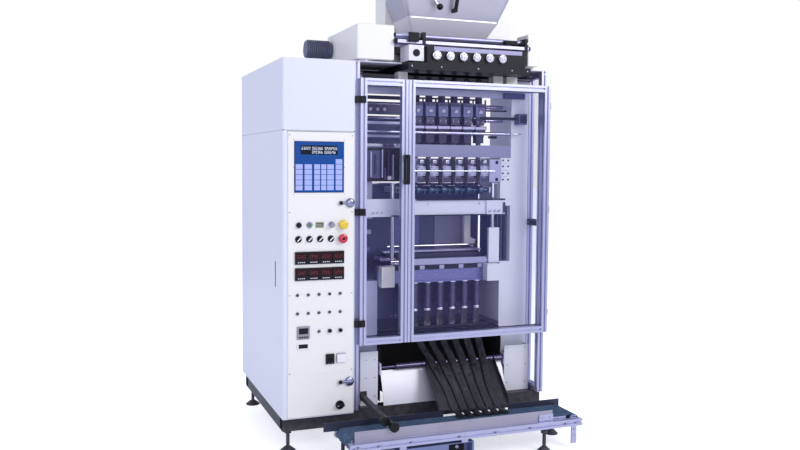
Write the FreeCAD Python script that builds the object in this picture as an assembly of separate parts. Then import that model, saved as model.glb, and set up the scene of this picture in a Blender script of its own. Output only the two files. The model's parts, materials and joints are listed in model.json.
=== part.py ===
import FreeCAD, Part
import math
import os

# Six-lane stick-pack machine (a vertical form fill sealer that makes six narrow packs side by side).
# Sizes are in millimetres. While drawing, X = 0 is the outer left side of the cabinet, Y = 0 is the front
# plane of the cabinet and of the guard doors, and Z = 0 is the floor. X runs right, Y runs into the machine.
# Every solid is moved on export so that the origin is the centre of the plan, on the floor.

V = FreeCAD.Vector
X_AXIS = V(1, 0, 0)
Y_AXIS = V(0, 1, 0)
Z_AXIS = V(0, 0, 1)

# Plan limits, from the outermost pieces: cabinet left side, right and front conveyor feet, film reel.
PLAN_LEFT = 0.0
PLAN_RIGHT = 1292.0
PLAN_FRONT = -325.0
CONVEYOR_FRONT = -310.0
PLAN_BACK = 960.0
PLAN_CENTRE = V((PLAN_LEFT + PLAN_RIGHT) / 2, (PLAN_FRONT + PLAN_BACK) / 2, 0)

# Base and cabinet
BASE_BOTTOM = 95.0
BASE_TOP = 165.0
RAIL = 60.0
CABINET_WIDTH = 320.0
CABINET_DEPTH = 914.0
CABINET_TOP = 1397.0
COVER_TOP = 1700.0
SHEET = 3.0
DOOR_GAP = 1.0
DOOR_LEFT_X = 21.0
DOOR_RIGHT_X = 316.0
DOOR_DEPTH = 20.0
PANEL_FRONT = -1.5

# Guard of 30 mm slotted profile
PROFILE = 30.0
SLOT_WIDTH = 8.0
SLOT_DEPTH = 9.0
POST_Y = 32.0
POST_TOP = 1700.0
GUARD_LEFT = 320.0
GUARD_RIGHT = 1286.0
LEAF_BOTTOM = 461.0
LEAF_TOP = 1629.0
LEAF_LEFT = 344.0
LEAF_SPLIT = 567.5
LEAF_GAP = 3.0
PANE = 4.0
HINGE_HEIGHTS = (558.0, 1047.0, 1535.0)
HINGE_TALL = 30.0
LEFT_HINGE = V(341, -3, 0)
RIGHT_HINGE = V(1290, 31, 0)

# Sealing bay
LANES = 6
LANE_PITCH = 65.0
LANE_MID = 845.0
LANE_Y = 200.0
LANE_X = [LANE_MID + LANE_PITCH * (i - (LANES - 1) / 2) for i in range(LANES)]
TUBE_R = 12.0
TUBE_END = 1160.0
CARRIAGE_Z = 1227.0
CARRIAGE_PIN_X = (648.0, 1042.0)
CARRIAGE_PIN_R = 6.0
PULL_Z = 1136.0
PULL_Y = (178.0, 222.0)
PULL_WHEEL_R = 20.0
PULL_SHAFT_R = 6.0
BAY_LEFT = 478.0
BAY_RIGHT = 1104.0
BAY_FRONT = 150.0
BAY_BACK = 374.0

# Jaw carriage
GUIDE_X = (560.0, 1080.0)
GUIDE_Y = 180.0
GUIDE_R = 10.0
FIT = 0.05
JAW_Z = 1060.0
JAW_LEFT = 618.0
JAW_RIGHT = 1044.0
JAW_PIN_X = (630.0, 1036.0)
JAW_PIN_R = 5.0

# Discharge and conveyor
BELT_TOP = 143.0
BELT_THICK = 2.0
BELT_OUTER_R = 26.2
BELT_FRONT = -276.0
BELT_BACK = -112.0
ROLLER_X = (232.0, 1264.0)
ROLLER_Z = BELT_TOP - BELT_OUTER_R
ROLLER_SHAFT_R = 8.0
GUIDE_ROLLER = V(552, 104, 330)
GUIDE_ROLLER_R = 15.0
GUIDE_SHAFT_R = 6.0
STRIP_WIDTH = 38.0
STRIP_THICK = 8.0

# Film supply
REEL_Y = 760.0
REEL_Z = 560.0
REEL_R = 200.0
FILM_WIDTH = LANES * LANE_PITCH
DANCER_Y = 600.0
DANCER_Z = 980.0
STAND_X = (588.0, 1090.0)


def box(x0, x1, y0, y1, z0, z1):
    return Part.makeBox(x1 - x0, y1 - y0, z1 - z0, V(x0, y0, z0))


def rod(start, axis, radius, length):
    return Part.makeCylinder(radius, length, start, axis)


def pipe(start, axis, radius, bore, length):
    return rod(start, axis, radius, length).cut(rod(start, axis, bore, length))


def shell(x0, x1, y0, y1, z0, z1, wall, open_sides=""):
    """A sheet-metal box. open_sides names the faces left open: f front, k back, b bottom, t top."""
    grow = {side: (wall + 1 if side in open_sides else 0) for side in "fkbt"}
    inner = box(x0 + wall, x1 - wall, y0 + wall - grow["f"], y1 - wall + grow["k"],
                z0 + wall - grow["b"], z1 - wall + grow["t"])
    return box(x0, x1, y0, y1, z0, z1).cut(inner)


def prism_x(points_yz, x0, x1):
    """A solid with the outline points_yz, extruded along X."""
    points = [V(x0, y, z) for y, z in points_yz]
    return Part.Face(Part.makePolygon(points + points[:1])).extrude(V(x1 - x0, 0, 0))


def profile_outline():
    """Outline of the slotted profile round its centre: a square with one groove in each side."""
    h, s, d = PROFILE / 2, SLOT_WIDTH / 2, PROFILE / 2 - SLOT_DEPTH
    side = [(-h, -h), (-s, -h), (-s, -d), (s, -d), (s, -h)]
    outline = []
    for quarter in range(4):
        turn = math.radians(90 * quarter)
        c, n = math.cos(turn), math.sin(turn)
        outline += [(a * c - b * n, a * n + b * c) for a, b in side]
    return outline


def profile(start, axis, length):
    """A length of slotted profile. start is the low corner of its box, axis is X, Y or Z."""
    h = PROFILE / 2
    points = []
    for a, b in profile_outline():
        if axis == "X":
            points.append(start + V(0, a + h, b + h))
        elif axis == "Y":
            points.append(start + V(a + h, 0, b + h))
        else:
            points.append(start + V(a + h, b + h, 0))
    along = {"X": X_AXIS, "Y": Y_AXIS, "Z": Z_AXIS}[axis]
    return Part.Face(Part.makePolygon(points + points[:1])).extrude(along * length)


def screws(places, y, radius, height):
    """Screw heads on a face whose normal is -Y. places holds (x, z)."""
    return [rod(V(x, y, z), -Y_AXIS, radius, height) for x, z in places]


def export(name, *solids):
    shape = solids[0] if len(solids) == 1 else Part.makeCompound(list(solids))
    moved = shape.copy()
    moved.translate(-PLAN_CENTRE)
    moved.exportStep("parts/%s.step" % name)


# ---------------------------------------------------------------- base

def base_frame():
    solids = []
    for y0 in (60.0, 830.0):
        rail = box(15, 1286, y0, y0 + RAIL, BASE_BOTTOM, BASE_TOP)
        solids.append(rail.cut(box(14, 1287, y0 + 4, y0 + RAIL - 4, BASE_BOTTOM + 4, BASE_TOP - 4)))
    for x0 in (15.0, 640.0, 1226.0):
        rail = box(x0, x0 + RAIL, 120, 830, BASE_BOTTOM, BASE_TOP)
        solids.append(rail.cut(box(x0 + 4, x0 + RAIL - 4, 119, 831, BASE_BOTTOM + 4, BASE_TOP - 4)))
    for x0, x1 in ((75.0, 640.0), (700.0, 1226.0)):
        rail = box(x0, x1, 545, 545 + RAIL, BASE_BOTTOM, BASE_TOP)
        solids.append(rail.cut(box(x0 - 1, x1 + 1, 549, 541 + RAIL, BASE_BOTTOM + 4, BASE_TOP - 4)))
    export("base_frame", *solids)


def levelling_feet():
    solids = []
    for x in (45.0, 670.0, 1256.0):
        for y in (90.0, 860.0):
            solids.append(foot(x, y, 35.0, BASE_BOTTOM))
    for x, y in ((240.0, -295.0), (1103.0, -295.0), (240.0, -93.0), (1262.0, -93.0)):
        solids.append(foot(x, y, 30.0, BASE_BOTTOM))
    export("levelling_feet", *solids)


def foot(x, y, radius, top):
    disc = Part.makeCone(radius, radius * 0.45, 16, V(x, y, 4), Z_AXIS)
    pad = rod(V(x, y, 0), Z_AXIS, radius, 4)
    screw = rod(V(x, y, 18), Z_AXIS, 8, top - 18)
    nut = rod(V(x, y, top - 14), Z_AXIS, 15, 14)
    return pad.fuse([disc, screw, nut]).removeSplitter()


# ---------------------------------------------------------------- cabinet

def cabinet_shell():
    body = shell(0, CABINET_WIDTH, 0, CABINET_DEPTH, BASE_TOP, CABINET_TOP, SHEET)
    doorway = box(DOOR_LEFT_X - DOOR_GAP, CABINET_WIDTH - SHEET, -1, SHEET + 1, BASE_TOP + SHEET, CABINET_TOP - SHEET)
    side_pull = box(-1, SHEET + 1, 125, 145, 718, 832)
    body = body.cut([doorway, side_pull])
    cover = shell(0, CABINET_WIDTH, 0, CABINET_DEPTH, CABINET_TOP, COVER_TOP, SHEET, "b")
    export("cabinet_shell", body, cover)


def switchgear():
    plate_y = 640.0
    solids = [box(20, 300, plate_y, plate_y + 3, 230, 1340)]
    rows = ((1180.0, 120.0, 3, 90.0), (980.0, 90.0, 6, 70.0), (820.0, 80.0, 5, 60.0), (560.0, 180.0, 2, 110.0),
            (400.0, 60.0, 8, 45.0))
    for z0, tall, count, deep in rows:
        pitch = 260.0 / count
        for i in range(count):
            x0 = 30 + i * pitch
            solids.append(box(x0, x0 + pitch - 6, plate_y - deep, plate_y, z0, z0 + tall))
    for z0 in (360.0, 500.0, 760.0, 930.0, 1120.0):
        solids.append(box(30, 290, plate_y - 45, plate_y, z0, z0 + 30))
    export("switchgear", *solids)


SWITCH_ROW = 936.0
SELECTOR_X = (68.0, 116.0, 163.0, 211.0)
UPPER_ROW = 996.0
STOP_X = 262.0
LATCH_X = 296.0
LATCH_Z = (310.0, 1089.0)
MAIN_SWITCH = (253.0, 210.0)
HOLE_R = 11.3
SHAFT_HOLE_R = 8.3


def cabinet_door():
    """The door skin with folded edges, and the instrument plate screwed onto its front."""
    skin = box(DOOR_LEFT_X, DOOR_RIGHT_X, 0, DOOR_DEPTH, 169, 1392)
    skin = skin.cut(box(DOOR_LEFT_X + 2, DOOR_RIGHT_X - 2, 2, DOOR_DEPTH + 1, 171, 1390))
    plate = box(DOOR_LEFT_X + 4, DOOR_RIGHT_X - 4, PANEL_FRONT, 0, 352, 1388)
    switches = [(x, SWITCH_ROW) for x in SELECTOR_X] + [(STOP_X, SWITCH_ROW)]
    switches += [(69.0, UPPER_ROW), (116.0, UPPER_ROW), (213.0, UPPER_ROW), (264.0, UPPER_ROW)]
    holes = [rod(V(x, -3, z), Y_AXIS, HOLE_R, 8) for x, z in switches]
    holes += [rod(V(LATCH_X, -3, z), Y_AXIS, SHAFT_HOLE_R, 8) for z in LATCH_Z]
    holes.append(rod(V(MAIN_SWITCH[0], -3, MAIN_SWITCH[1]), Y_AXIS, SHAFT_HOLE_R, 8))
    heads = screws([(x, z) for x in (31.0, 306.0) for z in (362.0, 698.0, 1050.0, 1378.0)], PANEL_FRONT, 3, 1.5)
    export("cabinet_door", skin.cut(holes), plate.cut(holes), *heads)


def panel_block(x, z, wide, tall, proud):
    return box(x - wide / 2, x + wide / 2, PANEL_FRONT - proud, PANEL_FRONT, z - tall / 2, z + tall / 2)


def switch_collar(x, z):
    return pipe(V(x, PANEL_FRONT, z), -Y_AXIS, 14.5, HOLE_R, 3.5)


def panel_instruments():
    """Membrane keypad, controllers, counters, hour meter, fuse holders, breaker, socket and switch collars."""
    solids = [panel_block(159, 1242.5, 216, 215, 5)]
    for z in (856.0, 787.0):
        for i in range(4):
            solids.append(panel_block(79.2 + 54.5 * i, z, 53, 54, 8))
    solids.append(panel_block(161, UPPER_ROW, 36, 24, 4))
    solids.append(panel_block(89.5, 536, 55, 56, 6))
    solids.append(panel_block(88.5, 478, 53, 32, 5))
    solids.append(panel_block(208, 415, 38, 44, 8))
    solids.append(panel_block(257.5, 415.5, 43, 41, 12))
    for z in (698.0, 619.0):
        for i in range(5):
            solids.append(rod(V(64 + 47.25 * i, PANEL_FRONT, z), -Y_AXIS, 6, 8))
    solids.append(rod(V(159, PANEL_FRONT, 538), -Y_AXIS, 6, 8))
    solids += [rod(V(x, PANEL_FRONT, 538), -Y_AXIS, 8.5, 12) for x in (206.0, 254.0)]
    solids += [switch_collar(x, SWITCH_ROW) for x in SELECTOR_X + (STOP_X,)]
    solids += [switch_collar(x, UPPER_ROW) for x in (69.0, 116.0, 213.0, 264.0)]
    export("panel_instruments", *solids)


def selector(name, x, z):
    """A rotary switch: round body, raised bar grip and shaft."""
    body = rod(V(x, -5.5, z), -Y_AXIS, 10.9, 5)
    grip = box(x - 10, x + 10, -17, -10, z - 3.5, z + 3.5)
    grip.rotate(V(x, 0, z), Y_AXIS, -45)
    shaft = rod(V(x, -6, z), Y_AXIS, 8, 20)
    export(name, body.fuse([grip, shaft]).removeSplitter())


def selectors():
    for i, x in enumerate(SELECTOR_X):
        selector("selector_%d" % (i + 1), x, SWITCH_ROW)
    selector("mode_selector", 69.0, UPPER_ROW)


def key_switch():
    x, z = 213.0, UPPER_ROW
    barrel = rod(V(x, -8, z), Y_AXIS, 10.9, 22)
    key = box(x - 1.5, x + 1.5, -30, -7, z - 8, z + 8)
    export("key_switch", barrel.fuse(key).removeSplitter())


def push_button(name, x, z, head_r, head_back, head_front):
    """A push button: head in front of the collar and a stem that runs in the panel hole."""
    thick = head_back - head_front
    stem = rod(V(x, head_back - 1, z), Y_AXIS, 10.9, 14 - head_back)
    head = rod(V(x, head_back, z), -Y_AXIS, head_r, thick)
    rim = [edge for edge in head.Edges if edge.BoundBox.YMax < head_front + 0.1]
    head = head.makeFillet(min(4.0, thick * 0.6), rim)
    export(name, head.fuse(stem).removeSplitter())


def push_buttons():
    push_button("start_button", 116.0, UPPER_ROW, 10.9, -4.0, -10.0)
    push_button("jog_button", 264.0, UPPER_ROW, 20.0, -12.0, -26.0)
    push_button("emergency_stop", STOP_X, SWITCH_ROW, 20.0, -12.0, -26.0)


def latch(name, z):
    """A clamp latch: disc, lever pointing left with a ball end, shaft and short cam behind the skin."""
    disc = rod(V(LATCH_X, -2, z), -Y_AXIS, 20, 12)
    lever = box(LATCH_X - 40, LATCH_X, -12, -5, z - 5, z + 5)
    ball = Part.makeSphere(9, V(LATCH_X - 42, -11, z), -X_AXIS)
    shaft = rod(V(LATCH_X, -3, z), Y_AXIS, 8, 12)
    cam = box(LATCH_X - 7, LATCH_X + 7, 4, 8, z - 7, z + 24)
    export(name, disc.fuse([lever, ball, shaft, cam]).removeSplitter())


def main_switch():
    x, z = MAIN_SWITCH
    knob = rod(V(x, -1, z), -Y_AXIS, 19, 10)
    grip = box(x - 17, x + 17, -24, -10, z - 5, z + 5)
    shaft = rod(V(x, -2, z), Y_AXIS, 8, 14)
    export("main_switch", knob.fuse([grip, shaft]).removeSplitter())


# ---------------------------------------------------------------- guard

def guard_frame():
    post_height = POST_TOP - BASE_TOP
    right_x = GUARD_RIGHT - PROFILE
    span = right_x - GUARD_LEFT - PROFILE
    solids = []
    for x, y in ((GUARD_LEFT, POST_Y), (right_x, POST_Y), (right_x, 150.0), (right_x, 376.0)):
        solids.append(profile(V(x, y, BASE_TOP), "Z", post_height))
    for z in (LEAF_BOTTOM, LEAF_TOP - PROFILE):
        solids.append(profile(V(GUARD_LEFT + PROFILE, POST_Y, z), "X", span))
    for y0, y1 in ((POST_Y + PROFILE, 150.0), (180.0, 376.0)):
        for z in (BASE_TOP, 965.0, POST_TOP - PROFILE):
            solids.append(profile(V(right_x, y0, z), "Y", y1 - y0))
    for z in HINGE_HEIGHTS:
        solids.append(box(320.5, 335, -7, POST_Y, z - HINGE_TALL / 2, z + HINGE_TALL / 2))
        solids.append(rod(LEFT_HINGE + V(0, 0, z - HINGE_TALL / 2), Z_AXIS, 4, HINGE_TALL / 2 - 0.5))
        solids.append(box(GUARD_RIGHT, GUARD_RIGHT + 4, POST_Y + 4, POST_Y + 28, z - HINGE_TALL / 2, z + HINGE_TALL / 2))
    export("guard_frame", *solids)


def side_window():
    x = GUARD_RIGHT - PROFILE / 2 - PANE / 2
    y0, y1 = POST_Y + PROFILE, 150.0
    solids = [box(x, x + PANE, y0, y1, z0, z1) for z0, z1 in ((195.0, 965.0), (995.0, 1670.0))]
    export("side_window", *solids)


def leaf_frame(x0, x1):
    """Two stiles and two rails of slotted profile."""
    tall = LEAF_TOP - LEAF_BOTTOM
    solids = [profile(V(x, 0, LEAF_BOTTOM), "Z", tall) for x in (x0, x1 - PROFILE)]
    for z in (LEAF_BOTTOM, LEAF_TOP - PROFILE):
        solids.append(profile(V(x0 + PROFILE, 0, z), "X", x1 - x0 - 2 * PROFILE))
    return solids


def leaf_pane(x0, x1):
    y = (PROFILE - PANE) / 2
    return box(x0 + PROFILE, x1 - PROFILE, y, y + PANE, LEAF_BOTTOM + PROFILE, LEAF_TOP - PROFILE)


def guard_doors():
    left = (LEAF_LEFT, LEAF_SPLIT - LEAF_GAP / 2)
    right = (LEAF_SPLIT + LEAF_GAP / 2, GUARD_RIGHT)
    left_hinges = []
    right_hinges = []
    for z in HINGE_HEIGHTS:
        left_hinges.append(box(346, 367, -7, 0, z - HINGE_TALL / 2, z + HINGE_TALL / 2))
        left_hinges.append(rod(LEFT_HINGE + V(0, 0, z + 0.5), Z_AXIS, 4, HINGE_TALL / 2 - 0.5))
        right_hinges.append(box(GUARD_RIGHT, GUARD_RIGHT + 4, 3, 26, z - HINGE_TALL / 2, z + HINGE_TALL / 2))
    export("left_door_frame", *(leaf_frame(*left) + left_hinges))
    export("left_door_pane", leaf_pane(*left))
    export("right_door_frame", *(leaf_frame(*right) + right_hinges))
    export("right_door_pane", leaf_pane(*right))


def door_handle():
    """A bridge handle: two feet and a rounded grip, on the free stile of the left leaf."""
    x, z0, z1 = 551.0, 1168.0, 1299.0
    grip = rod(V(x, -38, z0 + 4), Z_AXIS, 8, z1 - z0 - 8)
    feet = [box(x - 7, x + 7, -40, 0, z - 9, z + 9) for z in (z0 + 9, z1 - 9)]
    export("door_handle", grip.fuse(feet).removeSplitter())


# ---------------------------------------------------------------- columns and gear case

def column_left():
    full = shell(352, 400, BAY_FRONT, BAY_BACK, BASE_TOP, 1670, 4)
    foot_box = shell(400, BAY_LEFT, BAY_FRONT, BAY_BACK, BASE_TOP, 723, 4)
    drive_box = shell(400, 450, BAY_FRONT, BAY_BACK, 1060, 1290, 4)
    leg_panel = box(378, 462, 92, 95, BASE_TOP, 410).fuse(box(378, 381, 95, BAY_FRONT, BASE_TOP, 410))
    buffer_box = box(483, 545, 104, 148, 695, 790)
    buffer_plate = box(483, 545, 148, 152, 714, 785)
    export("column_left", full, foot_box, drive_box, leg_panel.removeSplitter(), buffer_box, buffer_plate)


def column_right():
    full = shell(1160, 1254, BAY_FRONT, BAY_BACK, BASE_TOP, 1670, 4)
    foot_box = shell(BAY_RIGHT, 1160, BAY_FRONT, BAY_BACK, BASE_TOP, 790, 4)
    drive_box = shell(BAY_RIGHT, 1160, BAY_FRONT, BAY_BACK, 1060, 1290, 4)
    leg_panel = box(1114, 1246, 104, 107, BASE_TOP, 385).fuse(box(1243, 1246, 107, BAY_FRONT, BASE_TOP, 385))
    guide_cover = box(1046, 1102, 150, 166, 787, 955)
    lower_block = box(1015, 1090, 100, 148, 705, 785)
    export("column_right", full, foot_box, drive_box, leg_panel.removeSplitter(), guide_cover, lower_block)


def gear_case():
    """Closed housing behind the bay. It holds the cam drive and carries the cross beams."""
    case = shell(BAY_LEFT + 2, BAY_RIGHT - 2, BAY_BACK + 2, 540, BASE_TOP, 1165, 5)
    drive_port = rod(V(700, 533, 300), Y_AXIS, 45, 10)
    export("gear_case", case.cut(drive_port))


def main_gearmotor():
    """Geared motor on the rear of the gear case: flange and gearbox inside, motor body behind."""
    gearbox = box(640, 760, 440, 530, 240, 360)
    neck = rod(V(700, 530, 300), Y_AXIS, 40, 30)
    body = rod(V(700, 560, 300), Y_AXIS, 62, 130)
    terminal = box(665, 735, 590, 660, 355, 385)
    solid = gearbox.fuse([neck, body, terminal]).removeSplitter()
    feet = box(660, 740, 450, 520, BASE_TOP + 5, 240)
    export("main_gearmotor", solid, feet)


def cross_beams():
    """Fixed beams across the bay: top beam, forming plate, rear seal bar, cutter beam, shafts and plates."""
    left, right = 400.0, 1160.0
    solids = [shell(left, right, 150, 182, 1577, 1619, 4)]
    solids.append(box(left, right, 150, 158, 1291, 1349))
    rear_bar = box(640, 1050, 222, 245, 1172, 1285)
    rear_posts = [box(x, x + 25, 245, BAY_BACK + 2, 1205, 1250) for x in (645.0, 1020.0)]
    solids.append(rear_bar)
    solids += rear_posts
    solids += [rod(V(x, 120, CARRIAGE_Z), Y_AXIS, CARRIAGE_PIN_R, 102) for x in CARRIAGE_PIN_X]
    for x in (588.0, 1052.0):
        plate = box(x, x + 6, 162, BAY_BACK + 2, 1123, 1149)
        solids.append(plate.cut([rod(V(x - 1, y, PULL_Z), X_AXIS, PULL_SHAFT_R + FIT, 8) for y in PULL_Y]))
    solids.append(box(BAY_LEFT, BAY_RIGHT, 152, 184, 714, 787))
    drop_plate = box(BAY_LEFT, BAY_RIGHT, 150, 250, 705, 713)
    solids.append(drop_plate.cut([rod(V(x, LANE_Y, 700), Z_AXIS, 17.2, 20) for x in LANE_X]))
    solids.append(box(600, 1060, 222, 245, 790, 830))
    solids += [box(x, x + 20, 222, 245, 713, 790) for x in (600.0, 1040.0)]
    for y, z, radius in ((245.0, 1537.0, 10.0), (245.0, 1472.0, 9.0), (166.0, 1405.0, 8.0)):
        solids.append(rod(V(left, y, z), X_AXIS, radius, right - left))
    table = box(BAY_LEFT, BAY_RIGHT, 150, BAY_BACK + 2, 488, 498)
    solids.append(table.cut(box(640, 1050, 160, 240, 480, 510)))
    roller_hole = rod(GUIDE_ROLLER - V(90, 0, 0), X_AXIS, GUIDE_SHAFT_R + FIT, 700)
    solids += [box(x, x + 8, 90, 150, 300, 352).cut(roller_hole) for x in (BAY_LEFT - 8, BAY_RIGHT)]
    export("cross_beams", *solids)


def lane_tubes():
    """Six filling tubes with their forming shoulders, and six drop tubes under the knife."""
    solids = [pipe(V(x, LANE_Y, 565), Z_AXIS, 17, 15.5, 148) for x in LANE_X]
    for x in LANE_X:
        solids.append(pipe(V(x, LANE_Y, TUBE_END), Z_AXIS, TUBE_R, 10.5, 1669 - TUBE_END))
        shoulder = Part.makeLoft([square_wire(x, LANE_Y, 30, 1440), square_wire(x, LANE_Y, 19, 1385)], True, True)
        neck = box(x - 19, x + 19, LANE_Y - 19, LANE_Y + 19, 1360, 1385)
        solids.append(shoulder.fuse(neck).cut(rod(V(x, LANE_Y, 1350), Z_AXIS, TUBE_R + 1, 100)).removeSplitter())
    export("lane_tubes", *solids)


def square_wire(x, y, half, z):
    corners = [V(x - half, y - half, z), V(x + half, y - half, z), V(x + half, y + half, z), V(x - half, y + half, z)]
    return Part.makePolygon(corners + corners[:1])


# ---------------------------------------------------------------- moving tools of the bay

def seal_carriage():
    """Lengthwise sealing carriage: two stacked heated blocks per lane, a bar behind them and end plates."""
    solids = []
    for x in LANE_X:
        for z0, z1 in ((1172.0, 1222.0), (1232.0, 1285.0)):
            solids.append(box(x - 20, x + 20, 152, 178, z0, z1))
    bar = box(634, 1056, 140, 152, 1215, 1239)
    plate = box(1034, 1098, 128, 140, 1176, 1282)
    body = bar.fuse([plate] + solids)
    holes = [rod(V(x, 118, CARRIAGE_Z), Y_AXIS, CARRIAGE_PIN_R + FIT, 70) for x in CARRIAGE_PIN_X]
    export("seal_carriage", body.cut(holes).removeSplitter())


def guide_columns():
    """Two hard-chromed columns on the cutter beam, held at the top by brackets on the side boxes."""
    solids = [rod(V(x, GUIDE_Y, 787), Z_AXIS, GUIDE_R, 1166 - 787) for x in GUIDE_X]
    left = box(450, GUIDE_X[0] + 14, GUIDE_Y - 14, GUIDE_Y + 14, 1166, 1171)
    right = box(GUIDE_X[1] - 14, BAY_RIGHT, GUIDE_Y - 14, GUIDE_Y + 14, 1166, 1171)
    export("guide_columns", *(solids + [left, right]))


def jaw_carriage():
    """Up-and-down carriage: broad front beam, bolted end plates, bushes on the columns and a rear tie."""
    z0, z1 = 1023.0, 1095.0
    beam = shell(560, 1095, 95, 140, z0, z1, 5)
    end_left = box(404, 560, 95, 110, z0 - 4, z1 + 4)
    end_right = box(1000, 1098, 86, 95, z0 + 2, z1 - 2)
    bolts = screws([(1030, z0 + 22), (1052, z0 + 22), (1074, z0 + 22)], 86, 5, 4)
    bolts += screws([(520, z0 + 22), (540, z0 + 22)], 95, 5, 4)
    pieces = [end_left, end_right] + bolts
    for x in GUIDE_X:
        pieces.append(box(x - 16, x + 16, 140, GUIDE_Y, z0 + 10, z1 - 10))
        pieces.append(rod(V(x, GUIDE_Y, z0 + 10), Z_AXIS, 18, z1 - z0 - 20))
    for x in (600.0, 1046.0):
        pieces.append(box(x, x + 12, 140, 290, 1035, 1085))
    pieces.append(box(600, 1058, 275, 290, 1035, 1085))
    body = beam.fuse(pieces)
    body = body.cut([rod(V(x, GUIDE_Y, z0), Z_AXIS, GUIDE_R + FIT, z1 - z0) for x in GUIDE_X])
    pins = [rod(V(x, 140, JAW_Z), Y_AXIS, JAW_PIN_R, 135) for x in JAW_PIN_X]
    export("jaw_carriage", body.removeSplitter(), *pins)


def sealing_jaw(name, y0, y1, face_y):
    """A heated cross-sealing bar that slides on the two carriage pins, with a ribbed sealing face."""
    bar = box(JAW_LEFT, JAW_RIGHT, y0, y1, JAW_Z - 20, JAW_Z + 20)
    lip_y = sorted((face_y, y1 if face_y > y1 else y0))
    lip = box(JAW_LEFT + 30, JAW_RIGHT - 30, lip_y[0], lip_y[1], JAW_Z - 8, JAW_Z + 8)
    holes = [rod(V(x, y0 - 1, JAW_Z), Y_AXIS, JAW_PIN_R + FIT, y1 - y0 + 2) for x in JAW_PIN_X]
    export(name, bar.fuse(lip).cut(holes).removeSplitter())


def knife_bar():
    bar = box(624, 1036, 152, 174, 787.3, 815)
    blade = Part.Face(Part.makePolygon([V(640, 174, 798), V(640, 190, 802), V(640, 174, 804), V(640, 174, 798)]))
    blade = blade.extrude(V(380, 0, 0))
    export("knife_bar", bar.fuse(blade).removeSplitter())


def pull_roller(name, y):
    """A shaft with one gripping wheel per lane."""
    shaft = rod(V(584, y, PULL_Z), X_AXIS, PULL_SHAFT_R, 478)
    wheels = [rod(V(x - 9, y, PULL_Z), X_AXIS, PULL_WHEEL_R, 18) for x in LANE_X]
    export(name, shaft.fuse(wheels).removeSplitter())


# ---------------------------------------------------------------- top works

def top_deck():
    """Deck plate round the dosing unit, standoff blocks under it and the tall cover behind the hopper."""
    deck = box(GUARD_LEFT + 2, GUARD_RIGHT, POST_Y, 540, POST_TOP, POST_TOP + 6)
    deck = deck.cut(box(545, 1150, POST_Y - 1, 345, POST_TOP - 1, POST_TOP + 7))
    blocks = [box(x, x + w, 62, 112, LEAF_TOP, 1669) for x, w in ((540.0, 45.0), (1015.0, 50.0), (1085.0, 55.0))]
    header = box(420, 1250, 62, 112, 1600, LEAF_TOP)
    tower = shell(582, 1268, 350, 490, POST_TOP + 6, 2210, SHEET)
    export("top_deck", deck, header, *(blocks + [tower]))


def side_housings():
    """The white cover of the dosing drive at the left and the narrow end cover at the right."""
    drive = shell(327, 497, 0, 460, 1710, 1862, SHEET)
    drive = drive.cut(rod(V(320, 400, 1790), X_AXIS, 30, 20))
    flange = rod(V(385, 60, 1706), Z_AXIS, 34, 4)
    stands = [box(x, x + 30, 300, 330, 1706, 1710) for x in (335.0, 455.0)]
    end = shell(1160, 1217, 0, 109, 1715, 1863, SHEET)
    end_base = box(1164, 1213, 36, 105, 1706, 1715)
    export("side_housings", drive, flange, end, end_base, *stands)


def doser_motor():
    """Finned motor lying along X over the cabinet, with its flange on the drive cover."""
    centre = V(202, 400, 1790)
    body = rod(centre, X_AXIS, 38, 119)
    fins = [rod(centre + V(8 + 9 * i, 0, 0), X_AXIS, 45, 4) for i in range(12)]
    shaft = rod(centre + V(119, 0, 0), X_AXIS, 29, 9)
    export("doser_motor", body.fuse(fins + [shaft]).removeSplitter())


def doser_body():
    """Dosing block with its base plate, end bearing block and the tie bars that carry the hopper."""
    base = box(545, 1148, -50, 340, 1669.5, 1700)
    base = base.cut([rod(V(x, LANE_Y, 1660), Z_AXIS, 10.5, 50) for x in LANE_X])
    block = box(640, 1130, -30, 300, 1700, 1778)
    block = block.cut([rod(V(x, LANE_Y, 1690), Z_AXIS, 10.5, 100) for x in LANE_X])
    bearing = box(548, 618, -44, 60, 1708, 1776).cut(rod(V(583, -45, 1742), Y_AXIS, 14, 40))
    bars = [box(500, 1158, y, y + 14, 1786, 1800) for y in (-20.0, 110.0)]
    cheeks = [box(x, x + 14, -24, 330, 1778, 1836) for x in (622.0, 1132.0)]
    upper_bars = [rod(V(500, y, 1822), X_AXIS, 9, 658) for y in (10.0, 60.0)]
    cheek_holes = [rod(V(500, y, 1822), X_AXIS, 9, 658) for y in (10.0, 60.0)]
    cheek_holes += [box(500, 1158, y, y + 14, 1786, 1800) for y in (-20.0, 110.0)]
    gate_plate = box(636, 1132, 180, 345, 1840, 1860)
    gate_plate = gate_plate.cut(box(660, 1020, 215, 330, 1839, 1861))
    trough = box(640, 1130, 180, 345, 1778, 1840).cut(box(660, 1020, 215, 330, 1777, 1841))
    export("doser_body", base, block, bearing, trough, gate_plate, *(
        bars + [cheek.cut(cheek_holes) for cheek in cheeks] + upper_bars))


def doser_cylinders():
    """Six chromed dosing cylinders in a row on the front of the dosing block."""
    solids = []
    for x in LANE_X:
        body = rod(V(x, -30, 1737), -Y_AXIS, 19, 14)
        cap = rod(V(x, -44, 1737), -Y_AXIS, 13, 8)
        solids.append(body.fuse(cap).removeSplitter())
    export("doser_cylinders", *solids)


HOPPER_MID = 850.0
HOPPER_BACK = 346.0
GATE_HUB = (722.0, 2022.0)
HOPPER_LEVELS = ((1860.0, 190.0, 195.0), (1929.0, 232.0, 150.0), (2210.0, 350.0, 50.0))


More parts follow.
